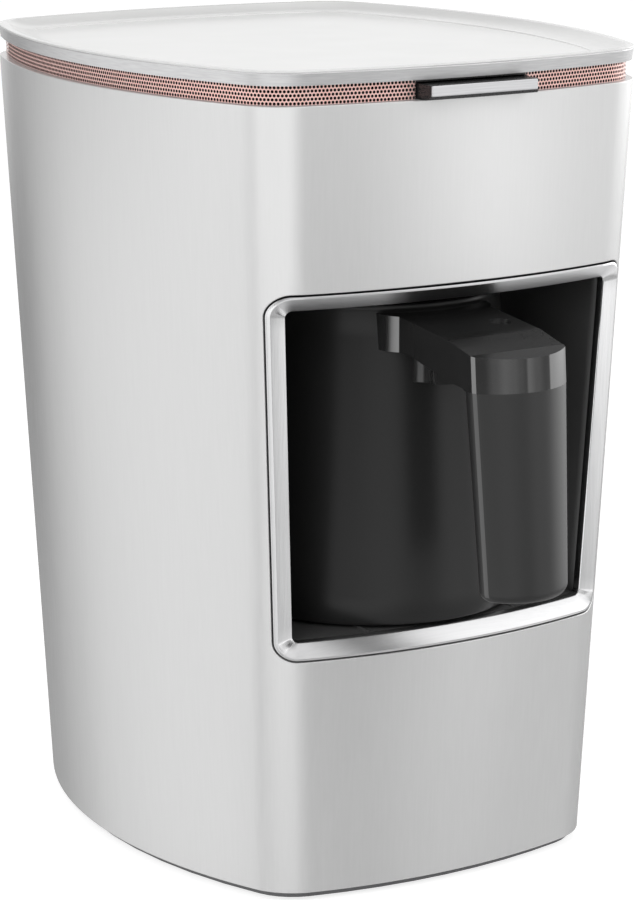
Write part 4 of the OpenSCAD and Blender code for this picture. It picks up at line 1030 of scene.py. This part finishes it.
grip_rings = []
for i in range(13):
    a = math.pi / 2 * (1 - i / 12)
    grip_rings.append(grip_ring(
        grip_h - grip_end_r * (1 - math.sin(a)), grip_end_r * (1 - math.cos(a))))
for i in range(1, 17):
    grip_rings.append(grip_ring((grip_h - grip_end_r) * (1 - i / 16), 0.0))
grip = new_piece("grip_moulding", *loft(grip_rings), "coffee_pot", "grip_satin",
                 ["handle_grip"], sharp=42)
grip_soft = moulded("grip_soft", (0.018, 0.018, 0.018), 0.38, 1800, 0.00002)
grip.data.materials.append(grip_soft)
# Painted highlight: the rounded side edges that face the front get a copy that reflects more
# strongly.
grip_highlight_edge = grip_soft.copy()
grip_highlight_edge.name = "grip_highlight_edge"
grip_highlight_edge.node_tree.nodes["Principled BSDF"].inputs["IOR"].default_value = 2.0
grip.data.materials.append(grip_highlight_edge)
for face in grip.data.polygons:
    if 0.85 < abs(face.normal.x) < 0.97 and face.normal.y < -0.2:
        face.material_index = 1

# ---- Start key -----------------------------------------------------------
# The key is a black bar with a thin satin silver plate on its front. It
# slides in a black guide that fills the ring's notch.
(x0, y0, z0), (x1, y1, z1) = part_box("key_face")
y1 += 0.0002  # let into the bar
key_plate = new_piece(
    "key_plate",
    [(x0, y0, z0), (x1, y0, z0), (x1, y1, z0), (x0, y1, z0),
     (x0, y0, z1), (x1, y0, z1), (x1, y1, z1), (x0, y1, z1)],
    [(0, 3, 2, 1), (4, 5, 6, 7), (0, 1, 5, 4), (1, 2, 6, 5), (2, 3, 7, 6), (3, 0, 4, 7)],
    "start_key", "key_silver", ["key_face"])
soften(key_plate, 0.00035, 30)
key_plate.data.materials.append(
    satin_metal("key_satin", (0.60, 0.60, 0.61), (0.70, 0.70, 0.71), 0.3, (60, 60, 3000)))
coat(moulded("key_black", (0.018, 0.018, 0.019), 0.28, 1500, 0.00001), "start_key", "key_guide")

# The return springs sit between the bar and the guide's rear wall and are
# compressed as the key goes in; here they ride with the key unchanged.
wound = nodes["key_springs"]
springs = new_piece("return_springs", [wound.matrix_world @ v.co for v in wound.data.vertices],
                    [tuple(f.vertices) for f in wound.data.polygons],
                    "start_key", "zinc", ["key_springs"], sharp=60)
zinc = satin_metal("zinc_plate", (0.56, 0.57, 0.59), (0.72, 0.73, 0.75), 0.32, (900,) * 3)
springs.data.materials.append(zinc)
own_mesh(springs)

# ---- Plinth, feet and gland ----------------------------------------------
# The base plate is a grained grey tray, screwed up into the shell, with four
# rubber feet let into it. A rubber bushing lines the cord's hole. Screws and
# clips are zinc-plated steel.
coat(moulded("plinth_grey", (0.16, 0.16, 0.165), 0.55, 1400, 0.00005), "base_plate")
coat(moulded("foot_rubber", (0.030, 0.030, 0.030), 0.75, 2200, 0.00006, 0.3),
     "foot_front_left", "foot_front_right", "foot_rear_left", "foot_rear_right", "cord_gland")
coat(zinc, "base_screws", "cup_screws", "board_screws", "guide_screws", "key_clips", "grip_screw")

# ---- Heater --------------------------------------------------------------
# Under the bay's floor a sheathed element is clamped to a cast spreader and
# a turned steel plate, inside a sheet cup with a sensor and a fuse.
for name, low, high, roughness, grain, piece in (
        ("turned_steel", (0.20, 0.20, 0.205), (0.28, 0.28, 0.285), 0.36, 500, "hot_plate"),
        ("cast_aluminium", (0.50, 0.50, 0.50), (0.64, 0.64, 0.64), 0.5, 700, "heat_spreader"),
        ("oxidised_sheath", (0.13, 0.11, 0.10), (0.24, 0.21, 0.19), 0.45, 400, "heating_element"),
        ("galvanised_sheet", (0.50, 0.51, 0.52), (0.66, 0.67, 0.68), 0.42, 120, "heater_cup"),
        ("bare_brass", (0.62, 0.46, 0.20), (0.74, 0.57, 0.28), 0.3, 800, "element_terminals")):
    coat(satin_metal(name, low, high, roughness, (grain,) * 3), piece)
coat(moulded("ceramic", (0.70, 0.64, 0.50), 0.6, 1500, 0.00004),
     "temperature_sensor", "thermal_fuse")

# ---- Boards and sensor ---------------------------------------------------
# Two green boards carry the relays, the transformer and the terminals. The
# foam sensor looks down through a dark red window.
for name, colour, roughness, grain, height, pieces in (
        ("solder_mask", (0.03, 0.16, 0.07), 0.3, 500, 0.00003,
         ("control_board", "power_board", "foam_board")),
        ("relay_blue", (0.05, 0.15, 0.45), 0.3, 900, 0.00001, ("key_relay", "power_relay")),
        ("varnished_core", (0.35, 0.22, 0.08), 0.4, 600, 0.00005, ("transformer",)),
        ("block_green", (0.08, 0.33, 0.16), 0.35, 900, 0.00002, ("terminal_block",)),
        ("button_red", (0.48, 0.03, 0.03), 0.3, 900, 0.00001, ("switch_button",)),
        ("part_black", (0.025, 0.025, 0.026), 0.5, 1200, 0.00003,
         ("top_carrier", "key_chip", "buzzer", "capacitor", "foam_housing", "key_switch")),
        ("red_window", (0.10, 0.008, 0.010), 0.08, 300, 0.0, ("foam_window",))):
    coat(moulded(name, colour, roughness, grain, height), *pieces)

low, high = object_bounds()
